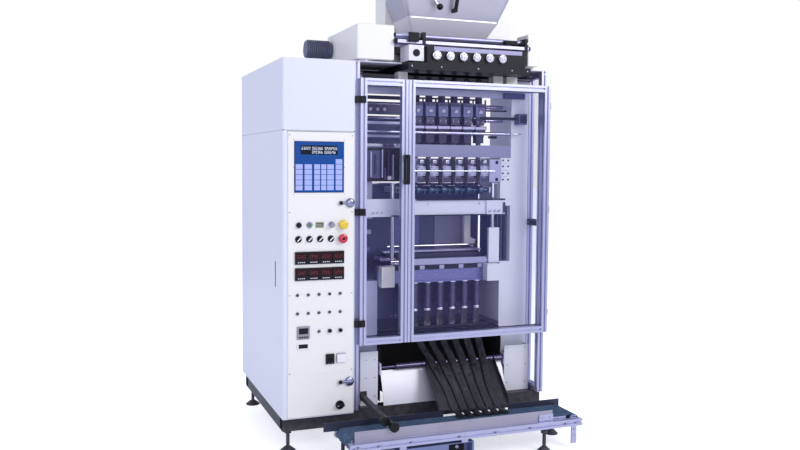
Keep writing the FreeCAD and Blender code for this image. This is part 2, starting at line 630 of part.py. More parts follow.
def hopper_loop(z, half, front, inset):
    x0, x1 = HOPPER_MID - half + inset, HOPPER_MID + half - inset
    y0, y1 = front + inset, HOPPER_BACK - inset
    corners = [V(x0, y0, z), V(x1, y0, z), V(x1, y1, z), V(x0, y1, z)]
    return Part.makePolygon(corners + corners[:1])


def hopper():
    """Stainless hopper: short skirt and tall flared body, open at the top and at the outlet."""
    solid = None
    hollow = None
    for (z0, h0, f0), (z1, h1, f1) in zip(HOPPER_LEVELS[:-1], HOPPER_LEVELS[1:]):
        outer = Part.makeLoft([hopper_loop(z0, h0, f0, 0), hopper_loop(z1, h1, f1, 0)], True, True)
        inner = Part.makeLoft([hopper_loop(z0, h0, f0, 3), hopper_loop(z1, h1, f1, 3)], True, True)
        solid = outer if solid is None else solid.fuse(outer)
        hollow = inner if hollow is None else hollow.fuse(inner)
    boss = rod(V(GATE_HUB[0], hopper_wall_y(GATE_HUB[1]) - 6, GATE_HUB[1]), Y_AXIS, 10, 12)
    handle = hopper_handle().cut(solid)
    export("hopper", solid.fuse(boss).cut(hollow).removeSplitter(), handle)


def hopper_wall_y(z):
    """Y of the front wall of the flared body at height z."""
    (z0, _, f0), (z1, _, f1) = HOPPER_LEVELS[1:]
    return f0 + (f1 - f0) * (z - z0) / (z1 - z0)


def hopper_gate_lever():
    """Lever with a round knob on the front wall of the hopper. It turns the outlet flap."""
    x, z = GATE_HUB
    y = hopper_wall_y(z)
    hub = rod(V(x, y - 6.5, z), -Y_AXIS, 12, 12)
    arm = box(x - 6, x + 6, y - 16, y - 10, z - 52, z)
    knob = Part.makeSphere(15, V(x, y - 22, z - 56))
    lever = hub.fuse([arm, knob]).removeSplitter()
    lever.rotate(V(x, y, z), Y_AXIS, -35)
    export("hopper_gate_lever", lever)


def hopper_handle():
    """Curved black carrying handle fixed on the front wall of the hopper."""
    z0, z1, x = 1968.0, 2056.0, 838.0
    foot_low = box(x - 8, x + 8, hopper_wall_y(z0) - 36, hopper_wall_y(z0) - 1, z0 - 8, z0 + 8)
    foot_high = box(x - 8, x + 8, hopper_wall_y(z1) - 36, hopper_wall_y(z1) - 1, z1 - 8, z1 + 8)
    start = V(x, hopper_wall_y(z0) - 30, z0)
    end = V(x, hopper_wall_y(z1) - 30, z1)
    grip = Part.makeCylinder(8, (end - start).Length, start, end - start)
    return grip.fuse([foot_low, foot_high]).removeSplitter()


# ---------------------------------------------------------------- discharge

STRIP_PATH = ((200.0, 560.0), (194.0, 490.0), (160.0, 421.0), (100.0, 361.0), (0.0, 258.0), (-85.0, 171.0),
              (-125.0, 153.0), (-170.0, 149.0))


def strip_x(lane, y):
    """Lanes draw together and drift right as the strips come down the chute."""
    t = min(1.0, max(0.0, (LANE_Y - y) / 305.0))
    offset = lane - (LANES - 1) / 2
    return LANE_MID + 28 * t + offset * (LANE_PITCH + (43 - LANE_PITCH) * min(1.0, t * 1.4))


def stick_strips():
    """Six flat strips of finished sticks, from the drop tubes down the chute to the belt."""
    solids = []
    for lane in range(LANES):
        loops = []
        for i, (y, z) in enumerate(STRIP_PATH):
            y_prev, z_prev = STRIP_PATH[max(0, i - 1)]
            y_next, z_next = STRIP_PATH[min(len(STRIP_PATH) - 1, i + 1)]
            along = V(0, y_next - y_prev, z_next - z_prev).normalize()
            normal = V(0, along.z, -along.y) * (STRIP_THICK / 2)
            across = V(STRIP_WIDTH / 2, 0, 0)
            if i == 0:
                across = V(13, 0, 0)
            mid = V(strip_x(lane, y), y, z)
            corners = [mid - across - normal, mid + across - normal, mid + across + normal, mid - across + normal]
            loops.append(Part.makePolygon(corners + corners[:1]))
        solids.append(Part.makeLoft(loops, True, True))
    export("stick_strips", *solids)


def discharge_chute():
    """Sloping dark plate under the strips with upturned sides."""
    plate = prism_x([(78, 328), (82, 325), (-80, 158), (-84, 161)], 690, 1036)
    sides = [prism_x([(78, 328), (72, 352), (-90, 185), (-84, 161)], x, x + 3) for x in (687.0, 1036.0)]
    export("discharge_chute", plate.fuse(sides).removeSplitter())


def polished_apron():
    """Curved stainless sheet that closes the front of the machine below the guide roller."""
    outer_mid, inner_mid = (84, 250), (87, 249)
    outer = Part.Arc(V(480, 112, 314), V(480, *outer_mid), V(480, 60, 166)).toShape()
    inner = Part.Arc(V(480, 63, 166), V(480, *inner_mid), V(480, 115, 314)).toShape()
    edges = [outer, Part.makeLine(V(480, 60, 166), V(480, 63, 166)), inner,
             Part.makeLine(V(480, 115, 314), V(480, 112, 314))]
    sheet = Part.Face(Part.Wire(edges)).extrude(V(620, 0, 0))
    export("polished_apron", sheet)


def guide_roller():
    roller = rod(GUIDE_ROLLER, X_AXIS, GUIDE_ROLLER_R, 543)
    shaft = rod(GUIDE_ROLLER - V(82, 0, 0), X_AXIS, GUIDE_SHAFT_R, 642)
    export("guide_roller", roller.fuse(shaft).removeSplitter())


# ---------------------------------------------------------------- conveyor

def conveyor_frame():
    """Side profiles, guide rails, slider bed, end bracket and drive box of the belt conveyor."""
    front = profile(V(205, CONVEYOR_FRONT, 100), "X", 1085)
    back = profile(V(205, -108, 100), "X", 1085)
    bores = [rod(V(x, CONVEYOR_FRONT - 1, ROLLER_Z), Y_AXIS, ROLLER_SHAFT_R + FIT, 240) for x in ROLLER_X]
    rail_front = box(230, 1150, -284, -281, 130, 175)
    rail_back = [box(x0, x1, -108, -105, 130, 167) for x0, x1 in ((150.0, 700.0), (1024.0, 1290.0))]
    bed = box(270, 1226, BELT_FRONT + 2, BELT_BACK - 2, 130, 139)
    ties = [box(x, x + 20, -280, -108, 101, 129) for x in (290.0, 600.0, 900.0, 1190.0)]
    drive = shell(400, 758, -300, -125, 15, 85, 3)
    drive = drive.cut(box(640, 750, -301, -296, 30, 82)).fuse(shell(637, 753, -297, -250, 27, 85, 3, "f"))
    hangers = [box(x, x + 30, -300, -280, 85, 100) for x in (420.0, 700.0)]
    end_bracket = box(1236, 1262, -305, -299, 22, 100)
    bracket = box(1080, 1150, -290, -284, 130, 160)
    export("conveyor_frame", front.cut(bores), back.cut(bores), rail_front, *(
        rail_back + [bed] + ties + [drive.removeSplitter()] + hangers + [end_bracket, bracket]))


def conveyor_belt():
    belt = belt_loop(BELT_OUTER_R).cut(belt_loop(BELT_OUTER_R - BELT_THICK))
    export("conveyor_belt", belt)


def belt_loop(radius):
    """The closed outline of the belt round both rollers, as a solid of that outline."""
    x0, x1 = ROLLER_X
    wide = BELT_BACK - BELT_FRONT
    ends = [rod(V(x, BELT_FRONT, ROLLER_Z), Y_AXIS, radius, wide) for x in ROLLER_X]
    middle = box(x0, x1, BELT_FRONT, BELT_BACK, ROLLER_Z - radius, ROLLER_Z + radius)
    return middle.fuse(ends).removeSplitter()


def belt_roller(name, x):
    drum = rod(V(x, BELT_FRONT + 2, ROLLER_Z), Y_AXIS, BELT_OUTER_R - BELT_THICK - 0.5, BELT_BACK - BELT_FRONT - 4)
    shaft = rod(V(x, CONVEYOR_FRONT + 2, ROLLER_Z), Y_AXIS, ROLLER_SHAFT_R, 228)
    export(name, drum.fuse(shaft).removeSplitter())


CLAMP_KNOBS = (("clamp_knob_left", 366.0, -250.0, 200.0), ("clamp_knob_right", 396.0, -286.0, 182.0))
CLAMP_KNOB_R = 20.5
CLAMP_STEM_R = 5.0


def clamp_arm():
    """Black arm from the left leg panel over the belt, with two lugs for the clamp knobs."""
    arm = prism_x([(86, 222), (86, 200), (-230, 182), (-236, 182), (-236, 200), (-230, 201)], 374, 396)
    foot_plate = box(378, 408, 86, 92, 192, 232)
    lug_left = box(354, 396, -246, -236, 188, 212)
    lug_right = box(388, 404, -280, -236, 176.5, 196)
    solid = arm.fuse([foot_plate, lug_left, lug_right])
    for _, x, y, z in CLAMP_KNOBS:
        solid = solid.cut(rod(V(x, y, z), Y_AXIS, CLAMP_STEM_R + FIT, 60))
    export("clamp_arm", solid.removeSplitter())


def clamp_knob(name, x, y, z):
    knob = rod(V(x, y - 18, z), Y_AXIS, CLAMP_KNOB_R, 16)
    hub = rod(V(x, y - 3, z), Y_AXIS, 9, 3)
    stem = rod(V(x, y - 3, z), Y_AXIS, CLAMP_STEM_R, 20)
    export(name, knob.fuse([hub, stem]).removeSplitter())


# ---------------------------------------------------------------- film supply

def film_reel():
    """Reel of printed film on its core and shaft."""
    x0 = LANE_MID - FILM_WIDTH / 2
    film = pipe(V(x0, REEL_Y, REEL_Z), X_AXIS, REEL_R, 42, FILM_WIDTH)
    core = pipe(V(x0 - 5, REEL_Y, REEL_Z), X_AXIS, 42, 38, FILM_WIDTH + 10)
    shaft = rod(V(STAND_X[0] - 10, REEL_Y, REEL_Z), X_AXIS, 20, STAND_X[1] - STAND_X[0] + 32)
    cones = [pipe(V(x, REEL_Y, REEL_Z), X_AXIS, 38, 20, 20) for x in (x0 - 5, x0 + FILM_WIDTH - 15)]
    export("film_reel", film, core, shaft, *cones)


def reel_stand():
    """Two uprights behind the gear case. They carry the reel shaft and the dancer pivot."""
    solids = []
    for x in STAND_X:
        outline = [(560, BASE_TOP), (860, BASE_TOP), (800, 620), (720, 620), (640, 700), (630, 1010), (570, 1010)]
        plate = prism_x(outline, x, x + 12)
        bore = rod(V(x - 1, REEL_Y, REEL_Z), X_AXIS, 20 + FIT, 14)
        pivot = rod(V(x - 1, DANCER_Y, DANCER_Z), X_AXIS, 10 + FIT, 14)
        solids.append(plate.cut([bore, pivot]))
    export("reel_stand", *solids)


def dancer_arm():
    """Swinging frame that keeps the film tight: pivot shaft, two arms and a roller."""
    reach = V(0, 160, -80)
    pivot = V(STAND_X[0] - 6, DANCER_Y, DANCER_Z)
    shaft = rod(pivot, X_AXIS, 10, STAND_X[1] - STAND_X[0] + 24)
    pieces = []
    angle = -math.degrees(math.atan2(-reach.z, reach.y))
    for x in (612.0, 1070.0):
        arm = box(x, x + 8, DANCER_Y - 16, DANCER_Y + reach.Length + 16, DANCER_Z - 16, DANCER_Z + 16)
        arm.rotate(V(x, DANCER_Y, DANCER_Z), X_AXIS, angle)
        pieces.append(arm)
    roller = rod(V(620, DANCER_Y, DANCER_Z) + reach, X_AXIS, 20, 450)
    export("dancer_arm", shaft.fuse(pieces + [roller]).removeSplitter())


def main():
    os.makedirs("parts", exist_ok=True)
    for make in (base_frame, levelling_feet, cabinet_shell, switchgear, cabinet_door, panel_instruments, selectors,
                 key_switch, push_buttons, main_switch, guard_frame, side_window, guard_doors, door_handle,
                 column_left, column_right, gear_case, main_gearmotor, cross_beams, lane_tubes, seal_carriage,
                 guide_columns, jaw_carriage, knife_bar, top_deck, side_housings, doser_motor,
                 doser_body, doser_cylinders, hopper, hopper_gate_lever, stick_strips,
                 discharge_chute, polished_apron, guide_roller, conveyor_frame, conveyor_belt,
                 clamp_arm, film_reel, reel_stand, dancer_arm):
        make()
    latch("latch_lower", LATCH_Z[0])
    latch("latch_upper", LATCH_Z[1])
    sealing_jaw("front_jaw", 155, 180, 186)
    sealing_jaw("rear_jaw", 220, 245, 214)
    pull_roller("pinch_roller", PULL_Y[0])
    pull_roller("pull_roller", PULL_Y[1])
    belt_roller("conveyor_idler_roller", ROLLER_X[0])
    belt_roller("conveyor_drive_roller", ROLLER_X[1])
    for knob in CLAMP_KNOBS:
        clamp_knob(*knob)


main()
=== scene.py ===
# %% [markdown]
# # A six-lane stick-pack machine
# The machine forms six narrow film tubes side by side, fills and seals them, and drops six strings of sticks on a
# short belt. The CAD frame already holds every solid piece at its real size, so this notebook only adds the looks:
# eased edges, finishes, printed and moulded detail, soft film, light and a camera.

# %% Frame
import math
import json
import random

import bmesh
import bpy
from mathutils import Matrix, Vector

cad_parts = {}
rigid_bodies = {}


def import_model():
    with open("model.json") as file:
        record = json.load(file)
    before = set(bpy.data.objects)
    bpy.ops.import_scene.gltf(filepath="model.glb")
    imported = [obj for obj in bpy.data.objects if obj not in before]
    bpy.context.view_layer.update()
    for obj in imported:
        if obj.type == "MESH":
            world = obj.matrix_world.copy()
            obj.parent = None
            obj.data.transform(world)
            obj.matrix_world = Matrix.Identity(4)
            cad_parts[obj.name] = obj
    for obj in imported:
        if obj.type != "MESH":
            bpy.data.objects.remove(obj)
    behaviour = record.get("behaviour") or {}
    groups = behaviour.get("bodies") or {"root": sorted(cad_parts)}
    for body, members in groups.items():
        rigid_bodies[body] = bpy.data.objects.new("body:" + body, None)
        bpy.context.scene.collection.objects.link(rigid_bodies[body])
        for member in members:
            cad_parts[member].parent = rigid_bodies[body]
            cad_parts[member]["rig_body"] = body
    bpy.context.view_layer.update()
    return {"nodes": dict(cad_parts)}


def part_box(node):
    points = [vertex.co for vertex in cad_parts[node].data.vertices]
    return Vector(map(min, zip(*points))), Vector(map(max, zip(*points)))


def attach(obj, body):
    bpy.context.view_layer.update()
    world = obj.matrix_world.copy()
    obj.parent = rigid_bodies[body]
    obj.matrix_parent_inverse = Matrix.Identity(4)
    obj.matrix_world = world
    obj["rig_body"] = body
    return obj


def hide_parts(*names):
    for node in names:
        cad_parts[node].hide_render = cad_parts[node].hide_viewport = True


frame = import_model()
scene = bpy.context.scene

# %% [markdown]
# A fitter measures this machine from the cabinet's lower front left corner, in millimetres. `at` turns such a
# measure into the frame's metres, so that each number below can be checked with a tape.

# %% Machine zero
MM = 0.001
shell_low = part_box("cabinet_shell")[0]
ZERO = Vector((shell_low.x, shell_low.y, 0))


def at(x, y, z):
    return ZERO + Vector((x, y, z)) * MM


def place(point):
    """The same corner in the fitter's millimetres."""
    return (Vector(point) - ZERO) / MM


print("machine zero", [round(c, 4) for c in ZERO])

# %% [markdown]
# Every finish below shares a few effects. Each effect is a node group, built once: its sockets are made with
# `interface.new_socket`, and it gives out colours, values and normals only. The shader stays in the material, where
# constants such as coat or specular level are set on the shader's own sockets.

# %% Node group helpers


def new_group(name, inputs, outputs):
    group = bpy.data.node_groups.new(name, "ShaderNodeTree")
    for label, kind, value in inputs:
        socket = group.interface.new_socket(label, in_out="INPUT", socket_type=kind)
        socket.default_value = value
    for label, kind in outputs:
        group.interface.new_socket(label, in_out="OUTPUT", socket_type=kind)
    return group, group.nodes.new("NodeGroupInput"), group.nodes.new("NodeGroupOutput")


def node(tree, kind, wired=(), **settings):
    """A new node. wired holds (input, source), where a source is a socket or a plain value."""
    made = tree.nodes.new(kind)
    for key, value in settings.items():
        setattr(made, key, value)
    for key, source in wired:
        if isinstance(source, bpy.types.NodeSocket):
            tree.links.new(source, made.inputs[key])
        else:
            made.inputs[key].default_value = source
    return made


def maths(tree, operation, *sources):
    return node(tree, "ShaderNodeMath", list(enumerate(sources)), operation=operation).outputs[0]


def noise(tree, vector, scale, detail):
    return node(tree, "ShaderNodeTexNoise", [("Vector", vector), ("Scale", scale), ("Detail", detail)]).outputs["Fac"]


def blend(tree, factor, first, second):
    return node(tree, "ShaderNodeMix", [("Factor", factor), (6, first), (7, second)], data_type="RGBA").outputs[2]


def give(group, out, **results):
    for label, source in results.items():
        group.links.new(source, out.inputs[label])


FLOAT, COLOUR, VECTOR = "NodeSocketFloat", "NodeSocketColor", "NodeSocketVector"

# %% [markdown]
# Sprayed paint is never quite flat. A fine noise gives the orange peel, a broad one drifts the colour a little, and
# a third gathers a trace of dust near the floor, where boots and brooms reach.

# %% Sprayed paint effect
DUST_TOP, DUST_COLOUR = 0.45, (0.42, 0.40, 0.42, 1)


def paint_effect():
    group, given, out = new_group(
        "sprayed_paint",
        [("Colour", COLOUR, (0.8, 0.8, 0.9, 1)), ("Shade", COLOUR, (0.7, 0.7, 0.85, 1)),
         ("Drift", FLOAT, 0.2), ("Peel", FLOAT, 0.15), ("Gloss", FLOAT, 0.35), ("Dust", FLOAT, 0.2)],
        [("Colour", COLOUR), ("Roughness", FLOAT), ("Normal", VECTOR)])
    spot = node(group, "ShaderNodeTexCoord").outputs["Object"]
    given = given.outputs
    tone = blend(group, maths(group, "MULTIPLY", noise(group, spot, 2.2, 3.0), given["Drift"]), given["Colour"],
                 given["Shade"])
    height = node(group, "ShaderNodeSeparateXYZ", [(0, spot)])
    low = node(group, "ShaderNodeMapRange", [(0, height.outputs["Z"]), (1, 0.0), (2, DUST_TOP), (3, 1.0), (4, 0.0)])
    dusty = maths(group, "MULTIPLY", low.outputs[0], noise(group, spot, 38.0, 6.0))
    dusty = maths(group, "MULTIPLY", dusty, given["Dust"])
    bump = node(group, "ShaderNodeBump", [("Strength", given["Peel"]), ("Distance", 0.0004),
                                          ("Height", noise(group, spot, 420.0, 2.0))])
    give(group, out, Colour=blend(group, dusty, tone, DUST_COLOUR),
         Roughness=maths(group, "MULTIPLY_ADD", dusty, 0.4, given["Gloss"]), Normal=bump.outputs[0])
    return group


sprayed_paint = paint_effect()
print("effect", sprayed_paint.name)

# %% [markdown]
# Rolled, drawn and brushed metal all carry fine lines in one direction. Noise stretched along that direction drives
# both the roughness and a slight bump, and a broader copy of it moves the tone. Grain is the number of lines per
# metre across each axis, so the smallest number is the direction of the lines.

# %% Drawn metal effect


def metal_effect():
    group, given, out = new_group(
        "drawn_metal",
        [("Colour", COLOUR, (0.7, 0.7, 0.8, 1)), ("Shade", COLOUR, (0.5, 0.5, 0.6, 1)),
         ("Grain", VECTOR, (900, 900, 6)), ("Tone", FLOAT, 0.3), ("Gloss", FLOAT, 0.3), ("Spread", FLOAT, 0.15),
         ("Lines", FLOAT, 0.1)],
        [("Colour", COLOUR), ("Roughness", FLOAT), ("Normal", VECTOR)])
    spot = node(group, "ShaderNodeTexCoord").outputs["Object"]
    given = given.outputs
    stretched = node(group, "ShaderNodeVectorMath", [(0, spot), (1, given["Grain"])], operation="MULTIPLY")
    lines = noise(group, stretched.outputs[0], 1.0, 2.0)
    mixed = maths(group, "MULTIPLY", lines, noise(group, spot, 7.0, 4.0))
    bump = node(group, "ShaderNodeBump", [("Strength", given["Lines"]), ("Distance", 0.0003), ("Height", lines)])
    give(group, out, Normal=bump.outputs[0],
         Colour=blend(group, maths(group, "MULTIPLY", mixed, given["Tone"]), given["Colour"], given["Shade"]),
         Roughness=maths(group, "MULTIPLY_ADD", mixed, given["Spread"], given["Gloss"]))
    return group


drawn_metal = metal_effect()
print("effect", drawn_metal.name)

# %% [markdown]
# A material is one Principled shader fed by one of these effects. `finish` wires them and sets the constants on the
# shader itself, which keeps them readable for any exporter.

# %% Finish maker


def principled(name):
    made = bpy.data.materials.new(name)
    made.use_nodes = True
    return made, made.node_tree, made.node_tree.nodes["Principled BSDF"]


def finish(name, effect, values, **constants):
    made, tree, shader = principled(name)
    made.diffuse_color = values["Colour"]
    source = node(tree, "ShaderNodeGroup", node_tree=effect)
    for key, value in values.items():
        source.inputs[key].default_value = value
    for label, socket in (("Colour", "Base Color"), ("Roughness", "Roughness"), ("Normal", "Normal")):
        tree.links.new(source.outputs[label], shader.inputs[socket])
    for key, value in constants.items():
        shader.inputs[key.replace("_", " ")].default_value = value
    return made


def paint(name, colour, shade, drift=0.25, peel=0.12, gloss=0.35, dust=0.15, **constants):
    return finish(name, sprayed_paint, {"Colour": (*colour, 1), "Shade": (*shade, 1), "Drift": drift, "Peel": peel,
                                        "Gloss": gloss, "Dust": dust}, **constants)


def metal(name, colour, shade, grain, tone=0.5, gloss=0.25, spread=0.2, lines=0.1, metallic=1.0):
    return finish(name, drawn_metal, {"Colour": (*colour, 1), "Shade": (*shade, 1), "Grain": grain, "Tone": tone,
                                      "Gloss": gloss, "Spread": spread, "Lines": lines}, Metallic=metallic)


def plastic(name, colour, shade, peel, gloss, **constants):
    """Moulded or printed plastic: a paint that holds no dust."""
    return paint(name, colour, shade, peel=peel, gloss=gloss, dust=0.0, **constants)


# %% Paints
white_paint = paint("white_enamel", (0.91, 0.90, 0.85), (0.86, 0.86, 0.83), Coat_Weight=0.15)
# A darker, bluer copy of the white enamel for the cabinet shell: painted shade on its sides.
side_shaded_paint = paint("white_enamel_painted_side_shade", (0.80, 0.82, 0.90), (0.75, 0.77, 0.87), Coat_Weight=0.12)
# Two lavender copies of the white enamel for the bay, pale and deep: painted shade inside the bay.
deep_shaded_bay_paint = paint("white_enamel_painted_deep_shade", (0.50, 0.50, 0.70), (0.40, 0.41, 0.64), gloss=0.4)
pale_shaded_bay_paint = paint("white_enamel_painted_pale_shade", (0.78, 0.79, 0.86), (0.68, 0.70, 0.82), gloss=0.35)
case_paint = paint("indigo_enamel", (0.055, 0.06, 0.15), (0.10, 0.11, 0.25), gloss=0.3, drift=0.6)
black_paint = paint("black_enamel", (0.014, 0.014, 0.020), (0.03, 0.03, 0.04), gloss=0.35, dust=0.3,
                    Specular_IOR_Level=0.15)
machine_green = paint("motor_enamel", (0.12, 0.13, 0.20), (0.16, 0.17, 0.25), gloss=0.4)
drive_box_paint = paint("drive_box_enamel", (0.17, 0.21, 0.40), (0.12, 0.15, 0.32), gloss=0.4)
print("paints", len(bpy.data.materials))

# %% Metals
ALONG_X, ALONG_Y, ALONG_Z = (6, 900, 900), (900, 6, 900), (900, 900, 6)
profile_metal = metal("anodised_profile", (0.56, 0.57, 0.76), (0.36, 0.37, 0.58), ALONG_Z, gloss=0.3, metallic=0.75)
beam_metal = metal("machined_beam", (0.68, 0.68, 0.84), (0.46, 0.46, 0.66), ALONG_X, gloss=0.33, metallic=0.55)
violet_metal = metal("violet_anodised", (0.20, 0.205, 0.44), (0.12, 0.125, 0.32), ALONG_X, gloss=0.3, metallic=0.6)
block_metal = metal("sealing_block_metal", (0.46, 0.46, 0.66), (0.28, 0.28, 0.48), ALONG_Z, gloss=0.3, metallic=0.6)
dark_steel = metal("browned_steel", (0.06, 0.06, 0.10), (0.025, 0.025, 0.05), ALONG_X, gloss=0.3, metallic=0.5)
shaft_steel = metal("ground_shaft", (0.45, 0.45, 0.60), (0.25, 0.25, 0.40), ALONG_X, gloss=0.2, metallic=0.9)
chrome = metal("chrome", (0.82, 0.82, 0.88), (0.7, 0.7, 0.8), ALONG_X, gloss=0.08, spread=0.05, lines=0.02)
zinc_screw = metal("zinc_screw", (0.5, 0.5, 0.58), (0.3, 0.3, 0.36), ALONG_Z, gloss=0.3)
hopper_metal = metal("hopper_stainless", (0.60, 0.60, 0.68), (0.42, 0.42, 0.52), ALONG_X, gloss=0.36, spread=0.2,
                     metallic=0.7)
violet_sheet = metal("violet_sheet", (0.13, 0.14, 0.33), (0.24, 0.25, 0.48), ALONG_Z, gloss=0.25, metallic=0.5)
grey_sheet = metal("grey_sheet", (0.20, 0.20, 0.30), (0.36, 0.36, 0.46), ALONG_Z, gloss=0.3, metallic=0.5)
tube_metal = metal("drop_tube_metal", (0.11, 0.09, 0.17), (0.04, 0.035, 0.07), ALONG_Z, gloss=0.22, metallic=0.7)
head_metal = metal("filling_head_metal", (0.14, 0.145, 0.28), (0.07, 0.07, 0.15), ALONG_Z, gloss=0.25, metallic=0.6)
# The skirt is the hopper's stainless made lighter and less metallic: a painted highlight.
skirt_painted_highlight = metal("hopper_skirt_painted_highlight", (0.88, 0.88, 0.94), (0.60, 0.60, 0.74), ALONG_X, gloss=0.42, metallic=0.15)
apron_metal = metal("apron_sheet", (0.76, 0.77, 0.82), (0.60, 0.62, 0.70), ALONG_X, gloss=0.42, metallic=0.35)
plate_metal = metal("forming_plate", (0.27, 0.27, 0.42), (0.2, 0.2, 0.34), ALONG_X, gloss=0.35, metallic=0.4)
jaw_metal = metal("jaw_beam_metal", (0.72, 0.73, 0.84), (0.55, 0.56, 0.70), ALONG_X, gloss=0.38, metallic=0.3)
latch_metal = metal("latch_metal", (0.34, 0.36, 0.50), (0.20, 0.22, 0.34), ALONG_X, gloss=0.2, spread=0.1)
rail_metal = metal("guide_rail", (0.34, 0.32, 0.40), (0.62, 0.62, 0.70), ALONG_X, tone=1.0, gloss=0.35, metallic=0.5)
slate_metal = metal("slate_rail", (0.045, 0.05, 0.085), (0.02, 0.022, 0.04), ALONG_X, gloss=0.35, metallic=0.4)
near_black_table_metal = metal("near_black_table", (0.018, 0.016, 0.02), (0.008, 0.007, 0.01), ALONG_Y, gloss=0.3, metallic=0.2)
print("metals", len(bpy.data.materials))

# %% Plastics, rubber and film
black_plastic = plastic("black_plastic", (0.010, 0.010, 0.013), (0.02, 0.02, 0.025), 0.3, 0.3,
                        Specular_IOR_Level=0.22)
matt_black = plastic("matt_black_plastic", (0.02, 0.02, 0.024), (0.03, 0.03, 0.035), 0.5, 0.55,
                     Specular_IOR_Level=0.12)
white_plastic = plastic("white_plastic", (0.90, 0.90, 0.92), (0.85, 0.85, 0.88), 0.1, 0.35)
grey_plastic = plastic("grey_plastic", (0.30, 0.30, 0.36), (0.36, 0.36, 0.42), 0.2, 0.45)
olive_plastic = plastic("olive_plastic", (0.30, 0.31, 0.16), (0.22, 0.23, 0.12), 0.2, 0.4)
red_plastic = plastic("red_plastic", (0.62, 0.012, 0.05), (0.5, 0.01, 0.04), 0.05, 0.2, Coat_Weight=0.5)
yellow_plastic = plastic("yellow_plastic", (0.86, 0.60, 0.03), (0.80, 0.52, 0.02), 0.05, 0.2, Coat_Weight=0.5)
green_plastic = plastic("green_plastic", (0.10, 0.22, 0.07), (0.08, 0.18, 0.05), 0.05, 0.25)
membrane_blue = plastic("membrane_blue", (0.004, 0.07, 0.30), (0.005, 0.08, 0.35), 0.25, 0.3, Specular_IOR_Level=0.2)
membrane_key = plastic("membrane_key", (0.40, 0.47, 0.86), (0.46, 0.53, 0.90), 0.25, 0.35)
display_dark = plastic("display_dark", (0.006, 0.012, 0.02), (0.01, 0.02, 0.03), 0.0, 0.12, Specular_IOR_Level=0.2)
display_red = plastic("display_red", (0.035, 0.006, 0.008), (0.05, 0.006, 0.01), 0.0, 0.15, Specular_IOR_Level=0.2)
display_ember = plastic("display_ember", (0.16, 0.035, 0.04), (0.2, 0.04, 0.05), 0.0, 0.3)
digit_white = plastic("digit_white", (0.80, 0.84, 0.92), (0.7, 0.75, 0.85), 0.0, 0.5)
belt_rubber = paint("belt_teal", (0.010, 0.075, 0.16), (0.012, 0.05, 0.11), drift=0.8, peel=0.6, gloss=0.4, dust=0.5,
                    Specular_IOR_Level=0.0)
roller_teal = paint("roller_teal", (0.012, 0.05, 0.12), (0.03, 0.10, 0.20), drift=0.8, gloss=0.25, dust=0.0,
                    Specular_IOR_Level=0.5)
# The film's lighter streaks along its length are painted sheen: highlights of the glossy crumpled film.
film_black_painted_sheen = metal("film_black_painted_sheen", (0.002, 0.002, 0.003), (0.09, 0.09, 0.10), (90, 10, 10), tone=1.0, gloss=0.12,
                   spread=0.4, lines=1.0, metallic=0.0)
print("all finishes", len(bpy.data.materials))

# %% [markdown]
# The guard panes are clear polycarbonate with a faint tint. Little light comes back from them face on, and more at a
# slant, so a Layer Weight moves the opacity. Faint wipe marks sit in the roughness.

# %% Window pane finish


def pane_finish():
    made, tree, shader = principled("clear_pane")
    shader.inputs["Base Color"].default_value = (0.22, 0.22, 0.62, 1)
    shader.inputs["Specular IOR Level"].default_value = 0.4
    slant = node(tree, "ShaderNodeLayerWeight", [("Blend", 0.25)])
    opacity = node(tree, "ShaderNodeMapRange", [(0, slant.outputs["Facing"]), (1, 0.0), (2, 1.0), (3, 0.025),
                                                (4, 0.35)])
    spot = node(tree, "ShaderNodeTexCoord").outputs["Object"]
    rough = node(tree, "ShaderNodeMapRange", [(0, noise(tree, spot, 9.0, 5.0)), (1, 0.4), (2, 0.7), (3, 0.03),
                                              (4, 0.12)])
    tree.links.new(opacity.outputs[0], shader.inputs["Alpha"])
    tree.links.new(rough.outputs[0], shader.inputs["Roughness"])
    return made


clear_pane = pane_finish()
print("pane", clear_pane.name)

# %% [markdown]
# A CAD node is a cloud of loose triangles with knife-sharp edges. Real edges catch light because they are rounded.
# So each solid is copied, its triangles are merged and dissolved into whole faces, and the sharp edges are bevelled.
# The copy stands for the CAD node, and the original stays hidden.

# %% Edge easing helpers
CRISP, SHARP = math.radians(32), math.radians(40)
MERGE, FLAT = 0.002 * MM, math.radians(0.8)


def keep(name, bm, finishes, body, stands_for=(), weighted=True):
    """Ends a bmesh as a piece that rides on a CAD body, smooth apart from its crisp edges."""
    for face in bm.faces:
        face.smooth = True
    for edge in bm.edges:
        edge.smooth = edge.calc_face_angle(math.pi) < CRISP
    mesh = bpy.data.meshes.new(name)
    bm.to_mesh(mesh)
    bm.free()
    for material in finishes:
        mesh.materials.append(material)
    piece = bpy.data.objects.new(name, mesh)
    scene.collection.objects.link(piece)
    if weighted:
        level = piece.modifiers.new("flat_faces", "WEIGHTED_NORMAL")
        level.keep_sharp = True
    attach(piece, body)
    if stands_for:
        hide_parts(*stands_for)
    return piece


